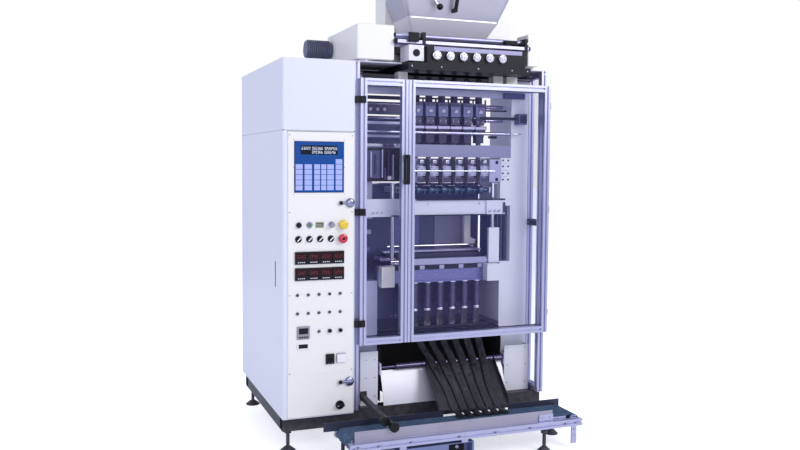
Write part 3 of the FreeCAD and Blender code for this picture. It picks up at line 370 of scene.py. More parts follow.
def solids_of(name):
    """The separate solids of a CAD node: (bmesh, low, high) with corners in the fitter's millimetres."""
    bm = bmesh.new()
    bm.from_mesh(frame["nodes"][name].data)
    bmesh.ops.remove_doubles(bm, verts=bm.verts, dist=MERGE)
    bmesh.ops.dissolve_limit(bm, angle_limit=FLAT, verts=bm.verts, edges=bm.edges)
    seen = set()
    found = []
    for face in bm.faces:
        if face in seen:
            continue
        island = {face}
        front = [face]
        while front:
            for edge in front.pop().edges:
                for other in edge.link_faces:
                    if other not in island:
                        island.add(other)
                        front.append(other)
        seen |= island
        found.append(island)
    solids = []
    for island in found:
        part = bmesh.new()
        twins = {v: part.verts.new(v.co) for v in {v for f in island for v in f.verts}}
        for face in island:
            part.faces.new([twins[v] for v in face.verts])
        corners = [place(v.co) for v in part.verts]
        low = Vector([min(c[i] for c in corners) for i in range(3)])
        high = Vector([max(c[i] for c in corners) for i in range(3)])
        solids.append((part, low, high))
    bm.free()
    return solids


def corner_edges(bm, low, high, keep_seam=()):
    """Edges that lie on two outer planes of a solid's box. keep_seam names planes left alone, such as "zlow"."""
    planes = [(0, low.x, "xlow"), (0, high.x, "xhigh"), (1, low.y, "ylow"), (1, high.y, "yhigh"),
              (2, low.z, "zlow"), (2, high.z, "zhigh")]
    chosen = []
    for edge in bm.edges:
        ends = [place(v.co) for v in edge.verts]
        touched = [name for axis, value, name in planes if all(abs(e[axis] - value) < 0.05 for e in ends)]
        if len(touched) == 2 and not set(touched) & set(keep_seam):
            chosen.append(edge)
    return chosen


def bevel(bm, edges, width, segments, clamp=True):
    bmesh.ops.bevel(bm, geom=edges, offset=width * MM, offset_type="OFFSET", segments=segments, profile=0.5,
                    affect="EDGES", clamp_overlap=clamp, material=-1)


def ease(bm, width, segments=2):
    """Bevels every edge sharper than SHARP."""
    sharp = [e for e in bm.edges if e.is_manifold and e.calc_face_angle(0) > SHARP]
    bevel(bm, sharp, width, segments)


def pour(part, whole):
    """Adds a part to a larger bmesh and frees the part."""
    mesh = bpy.data.meshes.new("part")
    part.to_mesh(mesh)
    part.free()
    whole.from_mesh(mesh)
    bpy.data.meshes.remove(mesh)


def join(parts):
    whole = bmesh.new()
    for part in parts:
        pour(part, whole)
    return whole


def body_with(name):
    return frame["nodes"][name]["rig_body"]


def dress(name, finish_all, width=0.8, groups=(), corner=0, seams=()):
    """Eases a CAD node. groups holds (suffix, finish, test) for solids that get their own piece and finish.
    corner is a larger radius for the outer corners of folded sheet metal."""
    rest = []
    taken = {suffix: [] for suffix, _, _ in groups}
    for part, low, high in solids_of(name):
        if corner:
            bevel(part, corner_edges(part, low, high, seams), corner, 3, clamp=False)
        if width:
            ease(part, width)
        for suffix, _, test in groups:
            if test(low, high):
                taken[suffix].append(part)
                break
        else:
            rest.append(part)
    if rest:
        keep(name + "_eased", join(rest), [finish_all], body_with(name), (name,))
    for suffix, material, _ in groups:
        if taken[suffix]:
            keep(name + "_" + suffix, join(taken[suffix]), [material], body_with(name), (name,))

# %% [markdown]
# Small parts start from blocks, rods, balls and turned outlines. A `Kit` gathers them, each with its own finish, and
# ends as one piece.

# %% Kit of small parts
AXES = {"x": Matrix.Rotation(math.pi / 2, 4, "Y"), "y": Matrix.Rotation(-math.pi / 2, 4, "X"),
        "z": Matrix.Identity(4)}


class Kit:
    def __init__(self, *finishes):
        self.bm = bmesh.new()
        self.finishes = finishes

    def take(self, part, finish=0):
        for face in part.faces:
            face.material_index = finish
        pour(part, self.bm)

    def block(self, x0, x1, y0, y1, z0, z1, finish=0, soft=0.8, steps=2, lean=None):
        """lean is an optional (axis, degrees) turn about the block's own centre."""
        part = bmesh.new()
        size = Matrix.Diagonal(((x1 - x0) * MM, (y1 - y0) * MM, (z1 - z0) * MM, 1))
        bmesh.ops.create_cube(part, size=1.0, matrix=size)
        if soft:
            bevel(part, part.edges[:], soft, steps)
        if lean:
            part.transform(Matrix.Rotation(math.radians(lean[1]), 4, lean[0].upper()))
        part.transform(Matrix.Translation(at((x0 + x1) / 2, (y0 + y1) / 2, (z0 + z1) / 2)))
        self.take(part, finish)

    def rod(self, x, y, z, axis, radius, length, finish=0, sides=32, soft=0.5, tip=None):
        """A rod centred on x, y, z. tip is the radius of its far end, if that differs."""
        part = bmesh.new()
        bmesh.ops.create_cone(part, cap_ends=True, segments=sides, radius1=radius * MM,
                              radius2=(radius if tip is None else tip) * MM, depth=length * MM)
        if soft:
            rims = [e for e in part.edges if e.calc_face_angle(0) > SHARP]
            bevel(part, rims, soft, 2)
        part.transform(Matrix.Translation(at(x, y, z)) @ AXES[axis])
        self.take(part, finish)

    def ball(self, x, y, z, radius, finish=0, sides=24):
        part = bmesh.new()
        bmesh.ops.create_uvsphere(part, u_segments=sides, v_segments=sides // 2, radius=radius * MM)
        part.transform(Matrix.Translation(at(x, y, z)))
        self.take(part, finish)

    def turned(self, x, y, z, axis, outline, finish=0, sides=40):
        """A lathe part. outline holds (radius, distance along the axis), from axis to axis."""
        part = bmesh.new()
        verts = [part.verts.new((radius * MM, 0, along * MM)) for radius, along in outline]
        edges = [part.edges.new(pair) for pair in zip(verts[:-1], verts[1:])]
        bmesh.ops.spin(part, geom=verts + edges, cent=(0, 0, 0), axis=(0, 0, 1), angle=2 * math.pi, steps=sides,
                       use_merge=True, use_duplicate=False)
        bmesh.ops.remove_doubles(part, verts=part.verts, dist=0.001 * MM)
        bmesh.ops.recalc_face_normals(part, faces=part.faces)
        part.transform(Matrix.Translation(at(x, y, z)) @ AXES[axis])
        self.take(part, finish)

    def screw(self, x, y, z, radius, tip, tall, finish, sides):
        """A button head that stands in front of y."""
        self.turned(x, y, z, "y", ((0, 0), (radius, 0), (tip, -tall), (0, -tall)), finish, sides)

    def screws(self, xs, y, zs, *size):
        for x in xs:
            for z in zs:
                self.screw(x, y, z, *size)

    def blocks(self, *rows):
        for row in rows:
            self.block(*row)

    def end(self, name, body, stands_for=()):
        return keep(name, self.bm, self.finishes, body, stands_for)


print("helpers ready")

# %% [markdown]
# ## Base, cabinet and housings
# Painted sheet metal: white for everything the operator sees, black for the base that stands in the dirt.

# %% Base, cabinet and housings
for row in (("base_frame", black_paint, 2.5), ("levelling_feet", black_paint, 1.2)):
    dress(*row)
dress("top_deck", white_paint, 2.0, [
    ("deck", pale_shaded_bay_paint, lambda low, high: high.z - low.z < 10),
    ("header", deep_shaded_bay_paint, lambda low, high: high.x - low.x > 800 and high.z < 1640)])
dress("side_housings", white_paint, 0.7, corner=5.0, groups=[
    ("flange", chrome, lambda low, high: high.z < 1711 and low.y < 100)])
dress("doser_motor", machine_green, 0.6)
dress("gear_case", case_paint, 0.8, corner=5.0)
dress("main_gearmotor", machine_green, 3.0)
dress("column_left", deep_shaded_bay_paint, 1.5, [
    ("leg_panel", pale_shaded_bay_paint, lambda low, high: high.y < 155 and low.z < 200),
    ("buffer", white_paint, lambda low, high: high.z < 800 and low.y < 150 and low.z > 600)])
dress("column_right", pale_shaded_bay_paint, 1.5, [
    ("leg_panel", pale_shaded_bay_paint, lambda low, high: high.y < 155 and low.z < 200),
    ("guide_cover", pale_shaded_bay_paint, lambda low, high: high.y < 170 and low.z > 600)])
for row in (("reel_stand", pale_shaded_bay_paint, 2.0), ("switchgear", grey_plastic, 1.5)):
    dress(*row)

# %% [markdown]
# ## Bay mechanics
# Machined aluminium and ground steel. Each solid keeps its own finish, because the near-black table looks nothing
# like the anodised beam above it.

# %% Bay mechanics
dress("cross_beams", beam_metal, 0.8, [
    ("table", near_black_table_metal, lambda low, high: 480 < low.z < 500),
    ("cutter_beam", violet_metal, lambda low, high: 700 < low.z < 716 and high.x - low.x > 500),
    ("forming_plate", plate_metal, lambda low, high: 1285 < low.z < 1295),
    ("film_shafts", shaft_steel, lambda low, high: low.z > 1390 and high.z < 1560),
    ("rear_bars", dark_steel, lambda low, high: low.y > 215)])
dress("lane_tubes", dark_steel, 0.4, [("drop_tubes", tube_metal, lambda low, high: high.z < 720)])
for row in (("seal_carriage", block_metal, 0.8), ("guide_columns", chrome, 0.6), ("jaw_carriage", jaw_metal, 1.5)):
    dress(*row)
for name in ("front_jaw", "rear_jaw", "knife_bar"):
    dress(name, block_metal, 0.8)
for row in (("pull_roller", roller_teal, 0.8), ("pinch_roller", roller_teal, 0.8), ("dancer_arm", shaft_steel, 1.0)):
    dress(*row)
dress("film_reel", black_plastic, 1.0, [("core", grey_plastic, lambda low, high: high.z - low.z < 90)])
for row in (("guide_roller", tube_metal, 1.2), ("polished_apron", apron_metal, 0.3),
    ("discharge_chute", black_paint, 0.6)):
    dress(*row)

# %% [markdown]
# ## Dosing unit

# %% Dosing unit
dress("doser_body", black_paint, 1.2, [
    ("block", dark_steel, lambda low, high: 1699 < low.z < 1705),
    ("bearing", pale_shaded_bay_paint, lambda low, high: high.x < 625 and high.z - low.z > 50),
    ("bars", block_metal, lambda low, high: high.x - low.x > 600 and low.z > 1780 and high.z < 1835)])
dress("doser_cylinders", chrome, 1.0)

# %% [markdown]
# ## Guard, doors and conveyor
# The guard is 30 mm slotted profile, anodised in a cool tone. Its panes are the CAD ones with the pane finish.

# %% Guard, doors and conveyor
dress("guard_frame", profile_metal, 0.8, [("hinges", black_plastic, lambda low, high: high.z - low.z < 32)])
for side in ("left", "right"):
    dress(side + "_door_frame", profile_metal, 0.8, [
        ("hinges", black_plastic, lambda low, high: high.z - low.z < 29.9 or high.x - low.x < 25 and
         high.z - low.z < 31)])
for name in ("left_door_pane", "right_door_pane", "side_window"):
    frame["nodes"][name].data.materials.clear()
    frame["nodes"][name].data.materials.append(clear_pane)
dress("conveyor_frame", profile_metal, 0.8, [
    ("front_rail", rail_metal, lambda low, high: high.y - low.y < 4 and high.z - low.z > 20 and low.y < -200),
    ("back_rails", slate_metal, lambda low, high: high.y - low.y < 4 and high.z - low.z > 20),
    ("drive_box", drive_box_paint, lambda low, high: high.x - low.x > 300 and high.z < 90)])
for row in (("conveyor_belt", belt_rubber, 0.0), ("conveyor_drive_roller", shaft_steel, 1.0),
    ("conveyor_idler_roller", shaft_steel, 1.0), ("clamp_arm", black_paint, 1.2),
    ("clamp_knob_left", black_plastic, 2.0), ("clamp_knob_right", black_plastic, 2.0)):
    dress(*row)

# %% [markdown]
# ## Instrument panel
# The keypad is a printed membrane on a thin plate: one blue sheet with rounded corners, a display window and raised
# key domes. Its keys stand in six columns of uneven width, which the list below gives from left to right.

# %% Membrane keypad
PLATE = place(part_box("cabinet_door")[0]).y
DOOR = "cabinet_door"
KEYPAD = (51.0, 267.0, 1135.0, 1350.0)
KEY_COLUMNS = ((55.0, 85.0), (93.5, 125.5), (135.5, 161.0), (166.0, 188.5), (192.5, 222.0), (230.0, 259.5))
KEY_LOW, KEY_PITCH, KEY_TALL, KEY_ROWS = 1144.0, 22.4, 20.4, 5
print("plate front at", round(PLATE, 2))

FACE = -1.5
keypad = Kit(membrane_blue, membrane_key, display_dark, digit_white, black_plastic)
x0, x1, z0, z1 = KEYPAD
keypad.blocks((x0 - 1.5, x1 + 1.5, FACE - 2, FACE, z0 - 1.5, z1 + 1.5, 4, 0.8),
    (x0, x1, FACE - 4.2, FACE - 1, z0, z1, 0, 1.2, 3))
for column, (left, right) in enumerate(KEY_COLUMNS):
    for row in range(KEY_ROWS + (column == len(KEY_COLUMNS) - 1)):
        low = KEY_LOW + row * KEY_PITCH
        keypad.block(left, right, FACE - 4.8, FACE - 4, low, low + KEY_TALL, 1, 0.35)
keypad.block(76, 239, FACE - 4.5, FACE - 4, 1295, 1334, 2, 0.2)

# %% [markdown]
# The display shows two rows of characters. Each one is a few small bars of a seven-bar digit, picked by a seeded
# draw, so that it reads as figures without spelling anything.

# %% Display figures
DIGIT_BARS = {"top": (0.5, 1.0, True), "middle": (0.5, 0.5, True), "bottom": (0.5, 0.0, True),
              "upper_left": (0.0, 0.75, False), "upper_right": (1.0, 0.75, False),
              "lower_left": (0.0, 0.25, False), "lower_right": (1.0, 0.25, False)}
draw = random.Random(7)


def figure(kit, x, y, z, wide, tall, thick, finish):
    """A seven-bar figure with its lower left corner at x, z, on a face at y."""
    lit = draw.sample(sorted(DIGIT_BARS), 5)
    for name in lit:
        across, up, flat = DIGIT_BARS[name]
        half_x, half_z = (wide / 2, thick / 2) if flat else (thick / 2, tall / 4)
        cx, cz = x + across * wide, z + up * tall
        kit.block(cx - half_x, cx + half_x, y - 0.25, y + 0.1, cz - half_z, cz + half_z, finish, 0)


for row, (low, groups) in enumerate(((1316.0, ((81, 5), (127, 6), (182, 7))), (1300.0, ((126, 6), (182, 6))))):
    for start, count in groups:
        for i in range(count):
            figure(keypad, start + i * 8.2, FACE - 4.55, low, 4.4, 10.5, 2.0, 3)
keypad.end("membrane_keypad", DOOR)
print("keypad keys", KEY_ROWS * len(KEY_COLUMNS) + 1)

# %% [markdown]
# Eight temperature controllers sit side by side in two rows. Each has a black bezel, a sunken window with a dark red
# readout, and four pale keys along its foot.

# %% Temperature controllers
controllers = Kit(black_plastic, display_red, digit_white, display_ember)
for z in (856, 787):
    for i in range(4):
        x = 79.2 + 54.5 * i
        controllers.blocks((x - 26.5, x + 26.5, FACE - 8, FACE, z - 27, z + 27, 0, 1.6, 3),
            (x - 21, x + 21, FACE - 8.5, FACE - 7, z - 9, z + 20, 1, 0.5))
        for k in range(4):
            figure(controllers, x - 16 + 9 * k, FACE - 8.55, z - 2, 5, 15, 1.3, 3)
            controllers.block(x - 15 + 8.4 * k, x - 9.6 + 8.4 * k, FACE - 8.8, FACE - 7.5, z - 20, z - 16.4,
                              2, 0.4)
controllers.end("temperature_controllers", DOOR)

# %% Counters, hour meter, breaker and socket cover
meters = Kit(olive_plastic, display_dark, digit_white, grey_plastic, black_plastic, white_plastic, display_red,
             zinc_screw)
meters.blocks((143, 179, FACE - 4, FACE, 984, 1008, 0, 1.2, 3), (148, 174, FACE - 4.4, FACE - 3, 991, 1003, 1, 0.3))
for k in range(5):
    figure(meters, 150 + 4.8 * k, FACE - 4.45, 993.5, 2.6, 6.6, 0.8, 2)
meters.blocks((62, 117, FACE - 6, FACE, 508, 564, 3, 1.6, 3), (69, 110, FACE - 6.5, FACE - 5, 531, 556, 1, 0.5))
for k in range(4):
    figure(meters, 73 + 9.2 * k, FACE - 6.55, 536, 5, 14, 1.2, 6)
    meters.block(70 + 10.4 * k, 77.5 + 10.4 * k, FACE - 7, FACE - 5, 514, 521, 4, 0.6)
meters.blocks((62, 115, FACE - 5, FACE, 462, 494, 5, 1.4, 3), (68, 109, FACE - 5.5, FACE - 4, 469, 487, 6, 0.5),
    (72, 105, FACE - 5.8, FACE - 5, 473, 483, 1, 0.3), (189, 227, FACE - 8, FACE, 393, 437, 4, 1.4, 3))
for k in range(2):
    meters.block(193 + 16 * k, 207 + 16 * k, FACE - 9, FACE - 7, 400, 430, 4, 0.8)
    meters.block(197 + 16 * k, 203 + 16 * k, FACE - 15, FACE - 8, 408, 420, 4, 1, lean=("x", 18))
    meters.rod(200 + 16 * k, FACE - 8.8, 396.6, "y", 1.8, 1.6, 7, 12)
meters.blocks((236, 279, FACE - 3, FACE, 395, 436, 3, 1.5, 3), (238, 277, FACE - 12, FACE - 2, 397.5, 434, 5, 2.5, 3))
meters.rod(257.5, FACE - 10, 437, "x", 2.2, 30, 7, 12)
meters.end("panel_meters", DOOR)

# %% [markdown]
# The fuse holders are small lathe parts: a black cap in a bright nut, with a screwdriver slot.

# %% Fuse holders and socket
fuses = Kit(black_plastic, zinc_screw)
FUSE_CAP = ((0, 0), (6.0, 0), (6.0, 6.6), (5.2, 7.6), (0, 7.6))
fuse_places = [(64 + 47.25 * i, z) for z in (698.0, 619.0) for i in range(5)] + [(159.0, 538.0)]
for x, z in fuse_places:
    fuses.rod(x, FACE - 1, z, "y", 7.6, 2, 1, 6, 0.3)
    fuses.turned(x, FACE, z, "y", [(radius, -along) for radius, along in FUSE_CAP], 0, 24)
    fuses.block(x - 3.6, x + 3.6, FACE - 8.2, FACE - 7.4, z - 0.7, z + 0.7, 1, 0, lean=("y", 35))
for x in (206, 254):
    fuses.rod(x, FACE - 1, 538, "y", 9.6, 2, 1, 6, 0.3)
    fuses.rod(x, FACE - 6.5, 538, "y", 8.4, 11, 0, 24, 1.2)
fuses.end("fuse_holders", DOOR)

# %% [markdown]
# Every switch stands in a collar, black in the lower row and bright in the upper. All panel pieces together stand
# for the CAD node with the instruments, because they fill the same places.

# %% Switch collars
collars = Kit(black_plastic, chrome)
COLLAR = ((11.4, 0), (14.4, 0), (14.4, -2.6), (13.4, -3.5), (11.4, -3.5), (11.4, 0))
switch_places = [(x, 936.0) for x in (68.0, 116.0, 163.0, 211.0, 262.0)]
switch_places += [(x, 996.0) for x in (69.0, 116.0, 213.0, 264.0)]
for x, z in switch_places:
    collars.turned(x, FACE, z, "y", COLLAR, 0 if z < 960 else 1, 32)
collars.end("switch_collars", DOOR, ("panel_instruments",))
print("collars", len(switch_places))

# %% [markdown]
# A rotary switch has a flanged body and a raised grip bar at 45 degrees with a white line along it.

# %% Rotary switches
def rotary(name, x, z, marked):
    kit = Kit(black_plastic, white_plastic)
    kit.turned(x, -3, z, "y", ((0, 8), (8, 8), (8, 0), (10.8, 0), (10.8, -6.2), (9.6, -7.4), (0, -7.4)))
    kit.block(x - 10, x + 10, -17, -9.5, z - 3.6, z + 3.6, 0, 1.4, 3, lean=("y", -45))
    if marked:
        kit.block(x - 10.4, x + 10.4, -17.5, -16.4, z - 2.5, z + 2.5, 1, 0.5, 2, lean=("y", -45))
    kit.end(name + "_knob", name, (name,))


for i, x in enumerate((68.0, 116.0, 163.0, 211.0)):
    rotary("selector_%d" % (i + 1), x, 936.0, True)
rotary("mode_selector", 69.0, 996.0, False)

# %% Mushroom buttons, start button, key switch
MUSHROOM = ((0, 12), (10.8, 12), (10.8, -12), (19.0, -12), (20.0, -13.4), (20.0, -19), (18.6, -22.6), (14.5, -25),
            (8, -26), (0, -26))


def mushroom(name, x, z, head, twist_marks):
    kit = Kit(head, black_plastic, white_plastic)
    kit.turned(x, 0, z, "y", MUSHROOM, 0, 48)
    if twist_marks:
        kit.turned(x, 0, z, "y", ((0, -25.8), (6, -25.8), (6, -26.6), (0, -26.6)), 1, 32)
    kit.end(name + "_cap", name, (name,))


mushroom("jog_button", 264.0, 996.0, yellow_plastic, False)
mushroom("emergency_stop", 262.0, 936.0, red_plastic, True)
start = Kit(green_plastic, grey_plastic)
start.turned(116, 0, 996, "y", ((0, 13), (10.8, 13), (10.8, -7.6), (9.8, -8.8), (7.6, -8.8), (7.6, -7.4), (0, -7.4)), 1)
start.turned(116, 0, 996, "y", ((0, -7), (7.4, -7), (7.4, -9.4), (6.2, -10.2), (0, -10.2)))
start.end("start_button_cap", "start_button", ("start_button",))
key = Kit(chrome, grey_plastic)
key.turned(213, 0, 996, "y", ((0, 13), (10.8, 13), (10.8, -6.8), (9.6, -8), (0, -8)))
key.block(211.6, 214.4, -20, -8, 989, 1003, 0, 0.6)
key.turned(213, 0, 996, "y", ((0, -19), (9, -19), (10.4, -21), (10.4, -27), (9, -29.5), (0, -29.5)), 1)
key.end("key_and_barrel", "key_switch", ("key_switch",))
print("switches done")

# %% [markdown]
# The door latches are chromed clamp levers: a stepped disc, a tapered lever and a ball that fits the palm.

# %% Latches and main switch
for name, z in (("latch_lower", 310.0), ("latch_upper", 1089.0)):
    kit = Kit(latch_metal, black_plastic)
    kit.turned(296, 0, z, "y", ((0, 8), (7.8, 8), (7.8, -2.2), (19.4, -2.2), (20, -3.4), (20, -8.5), (16.5, -11.5),
                                (11, -13.6), (5, -14), (0, -14)), 0, 48)
    kit.block(289.2, 302.8, 4, 7.8, z - 6.8, z + 23.8, 0, 0.8)
    kit.rod(276, -8.5, z, "x", 4.4, 42, 0, 24, 0.8, tip=6.2)
    kit.ball(254, -11, z, 9, 1)
    kit.rod(263, -10, z, "x", 6.4, 5, 0, 24, 0.8)
    kit.end(name + "_handle", name, (name,))
main = Kit(black_plastic, zinc_screw, white_plastic)
main.turned(253, 0, 210, "y", ((0, 11), (7.8, 11), (7.8, -1.4), (18.6, -1.4), (19, -2.4), (19, -8.6), (17.6, -10.6),
                               (0, -11)), 0, 48)
main.blocks((236, 270, -23.8, -10, 205, 215, 0, 2, 3), (236.6, 244, -24, -22, 209, 211, 2, 0.3))
main.end("main_switch_knob", "main_switch", ("main_switch",))
print("latches done")

# %% [markdown]
# ## Cabinet door, side pull and deck trim
# The door is a folded tray: a rounded slab whose back is inset and pushed in. The instrument plate is a second sheet
# screwed on its front, which leaves the faint seam above the lower latch.


# %% Cabinet door
def slab(x0, x1, y0, y1, z0, z1):
    """A sharp block, made in its place."""
    part = bmesh.new()
    size = Matrix.Diagonal(((x1 - x0) * MM, (y1 - y0) * MM, (z1 - z0) * MM, 1))
    bmesh.ops.create_cube(part, size=1.0, matrix=Matrix.Translation(at((x0 + x1) / 2, (y0 + y1) / 2,
                                                                       (z0 + z1) / 2)) @ size)
    return part


def tray(kit, x0, x1, y0, y1, z0, z1, wall, finish=0, soft=2.0):
    """A slab hollowed from its back, as a folded sheet-metal door is."""
    part = slab(x0, x1, y0, y1, z0, z1)
    front = [e for e in part.edges if all(v.co.y < at(0, y0 + 0.01, 0).y for v in e.verts)]
    upright = [e for e in part.edges if abs(e.verts[0].co.y - e.verts[1].co.y) > 0.001]
    bevel(part, front + upright, soft, 3)
    back = [f for f in part.faces if f.normal.y > 0.99]
    bmesh.ops.inset_region(part, faces=back, thickness=wall * MM, depth=0)
    bmesh.ops.translate(part, verts=list({v for f in back for v in f.verts}), vec=(0, -(y1 - y0 - wall) * MM, 0))
    kit.take(part, finish)


door_low, door_high = place(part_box("cabinet_door")[0]), place(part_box("cabinet_door")[1])
door = Kit(white_paint, zinc_screw, grey_plastic)
tray(door, door_low.x, door_high.x, 0, door_high.y, door_low.z, door_high.z, 2)
door.block(door_low.x + 4, door_high.x - 4, -1.5, 0.2, 352, 1388, 0, 0.6)
for x in (31, 306):
    for z in (362, 698, 1050, 1378):
        door.turned(x, -1.4, z, "y", ((0, 0), (3.4, 0), (3.2, -0.8), (1.8, -1.4), (0, -1.4)), 1, 20)
        door.block(x - 2.2, x + 2.2, -3.1, -2.6, z - 0.35, z + 0.35, 2, 0, lean=("y", 40))
for x in (48, 270):
    for z in (1127, 1242, 1358):
        door.turned(x, -1.4, z, "y", ((0, 0), (2.6, 0), (2.2, -0.9), (0, -1)), 1, 16)
door.end("cabinet_door_skin", "cabinet_door", ("cabinet_door",))
print("door height", round(door_high.z - door_low.z, 1), "mm")

# %% [markdown]
# The cabinet body is one bent sheet: a rounded block whose front is inset to the doorway, pushed in to make the lip,
# widened behind it and pushed on to the back wall. Four cuts round the side pull leave one small face, pressed in as
# the cup. The upper cover is a second block, and the two soft edges that meet make the seam.

# %% Cabinet shell
def rounded_block(x0, x1, y0, y1, z0, z1, wide, soft):
    """A block with large upright corners and softened top and bottom rims."""
    part = slab(x0, x1, y0, y1, z0, z1)
    bevel(part, [e for e in part.edges if abs(e.verts[0].co.z - e.verts[1].co.z) > 0.001], wide, 4)
    rims = [e for e in part.edges if abs(e.verts[0].co.z - e.verts[1].co.z) < 1e-6 and len(e.link_faces) == 2 and
            e.calc_face_angle(0) > math.radians(60)]
    bevel(part, rims, soft, 2)
    part.normal_update()
    return part


def shift(faces, x=0.0, y=0.0, z=0.0):
    for vert in {v for f in faces for v in f.verts}:
        vert.co += Vector((x, y, z)) * MM


body = rounded_block(0, 320, 0, 914, 165, 1397, 8, 2.0)
front = max((f for f in body.faces if f.normal.y < -0.99), key=lambda f: f.calc_area())
bmesh.ops.inset_region(body, faces=[front], thickness=3 * MM, depth=0)
centre = front.calc_center_median()
for vert in front.verts:
    target = place(vert.co)
    target.x = 20 if vert.co.x < centre.x else 317
    target.z = 168 if vert.co.z < centre.z else 1394
    vert.co = at(*target)
lip = [front]
for depth, left in ((3, 0), (0, -17), (905, 0)):
    made = bmesh.ops.extrude_face_region(body, geom=lip)
    bmesh.ops.delete(body, geom=lip, context="FACES_ONLY")
    lip = [g for g in made["geom"] if isinstance(g, bmesh.types.BMFace)]
    shift(lip, y=depth)
    if left:
        for vert in lip[0].verts:
            if vert.co.x < centre.x:
                vert.co.x += left * MM
for point, normal in (((0, 125, 0), (0, 1, 0)), ((0, 145, 0), (0, 1, 0)), ((0, 0, 718), (0, 0, 1)),
                      ((0, 0, 832), (0, 0, 1))):
    outer = [f for f in body.faces if f.normal.x < -0.99 and f.calc_center_median().x < at(1, 0, 0).x]
    geom = outer + list({e for f in outer for e in f.edges}) + list({v for f in outer for v in f.verts})
    bmesh.ops.bisect_plane(body, geom=geom, plane_co=at(*point), plane_no=normal)
CUP_MIDDLE = Vector((0, 135, 775))
cup = [f for f in body.faces if f.normal.x < -0.99 and (place(f.calc_center_median()) - CUP_MIDDLE).length < 3]
pressed = bmesh.ops.extrude_face_region(body, geom=cup)
bmesh.ops.delete(body, geom=cup, context="FACES_ONLY")
cup = [g for g in pressed["geom"] if isinstance(g, bmesh.types.BMFace)]
shift(cup, x=2.8)
# The whole shell takes the painted-shade copy of the white enamel, and the door keeps the lit one.
cabinet = Kit(side_shaded_paint, matt_black)
bmesh.ops.recalc_face_normals(body, faces=body.faces)
cabinet.take(body)
cabinet.take(rounded_block(0, 320, 0, 914, 1397, 1700, 8, 2.0))
# The second slab is matt black at the bottom of the pull cup: painted shade of the recess.
cabinet.blocks((0.8, 319.2, 0.8, 913.2, 1395, 1399, 1, 0.4), (2.2, 2.9, 126, 144, 719, 831, 1, 0))
for y in (250.0, 480.0, 720.0, 880.0):
    for z in (1412, 1383):
        cabinet.turned(0.5, y, z, "x", ((0, 0), (3, 0), (2.4, -0.4), (0, -0.5)), 0, 16)
cabinet.end("cabinet_shell_bent", "machine_frame", ("cabinet_shell",))

# %% [markdown]
# How the machine is closed under the dosing unit and behind the chute is not known. Plain dark sheets stand in for
# it as painted shade of the dark depth there, which also keeps daylight from showing through. They have no CAD solid.

# %% Dark liners of painted shade
shade_liner = Kit(matt_black)
shade_liner.blocks((330, 1254, 336, 339, 1622, 1699, 0, 0.5), (350, 1254, 120, 336, 1660, 1663, 0, 0.5),
    (482, 1100, 362, 366, 170, 486, 0, 0.6), (482, 1100, 150, 362, 476, 479, 0, 0.6),
    (480, 484, 120, 362, 170, 476, 0, 0.6), (1098, 1102, 120, 362, 170, 476, 0, 0.6))
shade_liner.end("painted_shade_liners", "machine_frame")

# %% [markdown]
# How the lower back of the bay is closed is not known either. Seven plain sheets stand in for it, each hung on
# button-head screws. Their dark violet, indigo and grey tones are painted shade of the deep bay. They have no CAD
# solid.

# %% Back sheets of the bay, in painted shade
sheets = Kit(violet_sheet, case_paint, grey_sheet, zinc_screw)
for left, right, low, high, tone in ((484, 640, 500, 1160, 1), (644, 776, 800, 1020, 0), (780, 852, 800, 1020, 1),
                                     (856, 1010, 800, 1020, 2), (644, 1010, 502, 796, 1), (1014, 1096, 502, 1160, 1),
                                     (644, 1010, 1024, 1160, 1)):
    sheets.block(left, right, 370, 375.5, low, high, tone, 0.8)
    for x in (left + 10, right - 10):
        for z in (low + 12, high - 12):
            sheets.turned(x, 370, z, "y", ((0, 0), (4, 0), (3.2, -2), (0, -2.6)), 3, 16)
sheets.end("bay_back_painted_shade_sheets", "machine_frame")
print("sheets done")

# %% [markdown]
# ## Hopper
# The hopper is folded from stainless sheet with rounded corners: a short steep skirt, a weld, a tall flared body and
# a rolled rim. Each level starts as a rectangle whose corners are bevelled, the levels are bridged, and the wall gets
# its thickness last.

# %% Hopper shell
HOPPER = ((1860.0, 190.0, 195.0, 6), (1926.0, 230.5, 152.0, 14), (1929.0, 233.5, 149.0, 16),
          (1932, 233.5, 149, 16), (1935, 232, 150, 16), (2204, 345, 54, 42), (2210, 350, 50, 44))
WELD_Y, WELD_Z, RIM_Y, RIM_Z = 150, 1929, 50, 2210
HUB_X, HUB_Z = 722, 2022


def wall_y(z):
    """Where the sloping front wall is at a height."""
    return WELD_Y + (RIM_Y - WELD_Y) * (z - WELD_Z) / (RIM_Z - WELD_Z)


def level_loop(bm, z, half, front, corner):
    """One level of the hopper: a rectangle whose corners are rounded."""
    centre_x, back = 850.0, 346.0
    corners = [at(centre_x - half, front, z), at(centre_x + half, front, z), at(centre_x + half, back, z),
               at(centre_x - half, back, z)]
    face = bm.faces.new([bm.verts.new(c) for c in corners])
    bmesh.ops.bevel(bm, geom=face.verts[:], offset=corner * MM, offset_type="OFFSET", segments=5, profile=0.5,
                    affect="VERTICES", clamp_overlap=True, material=-1)


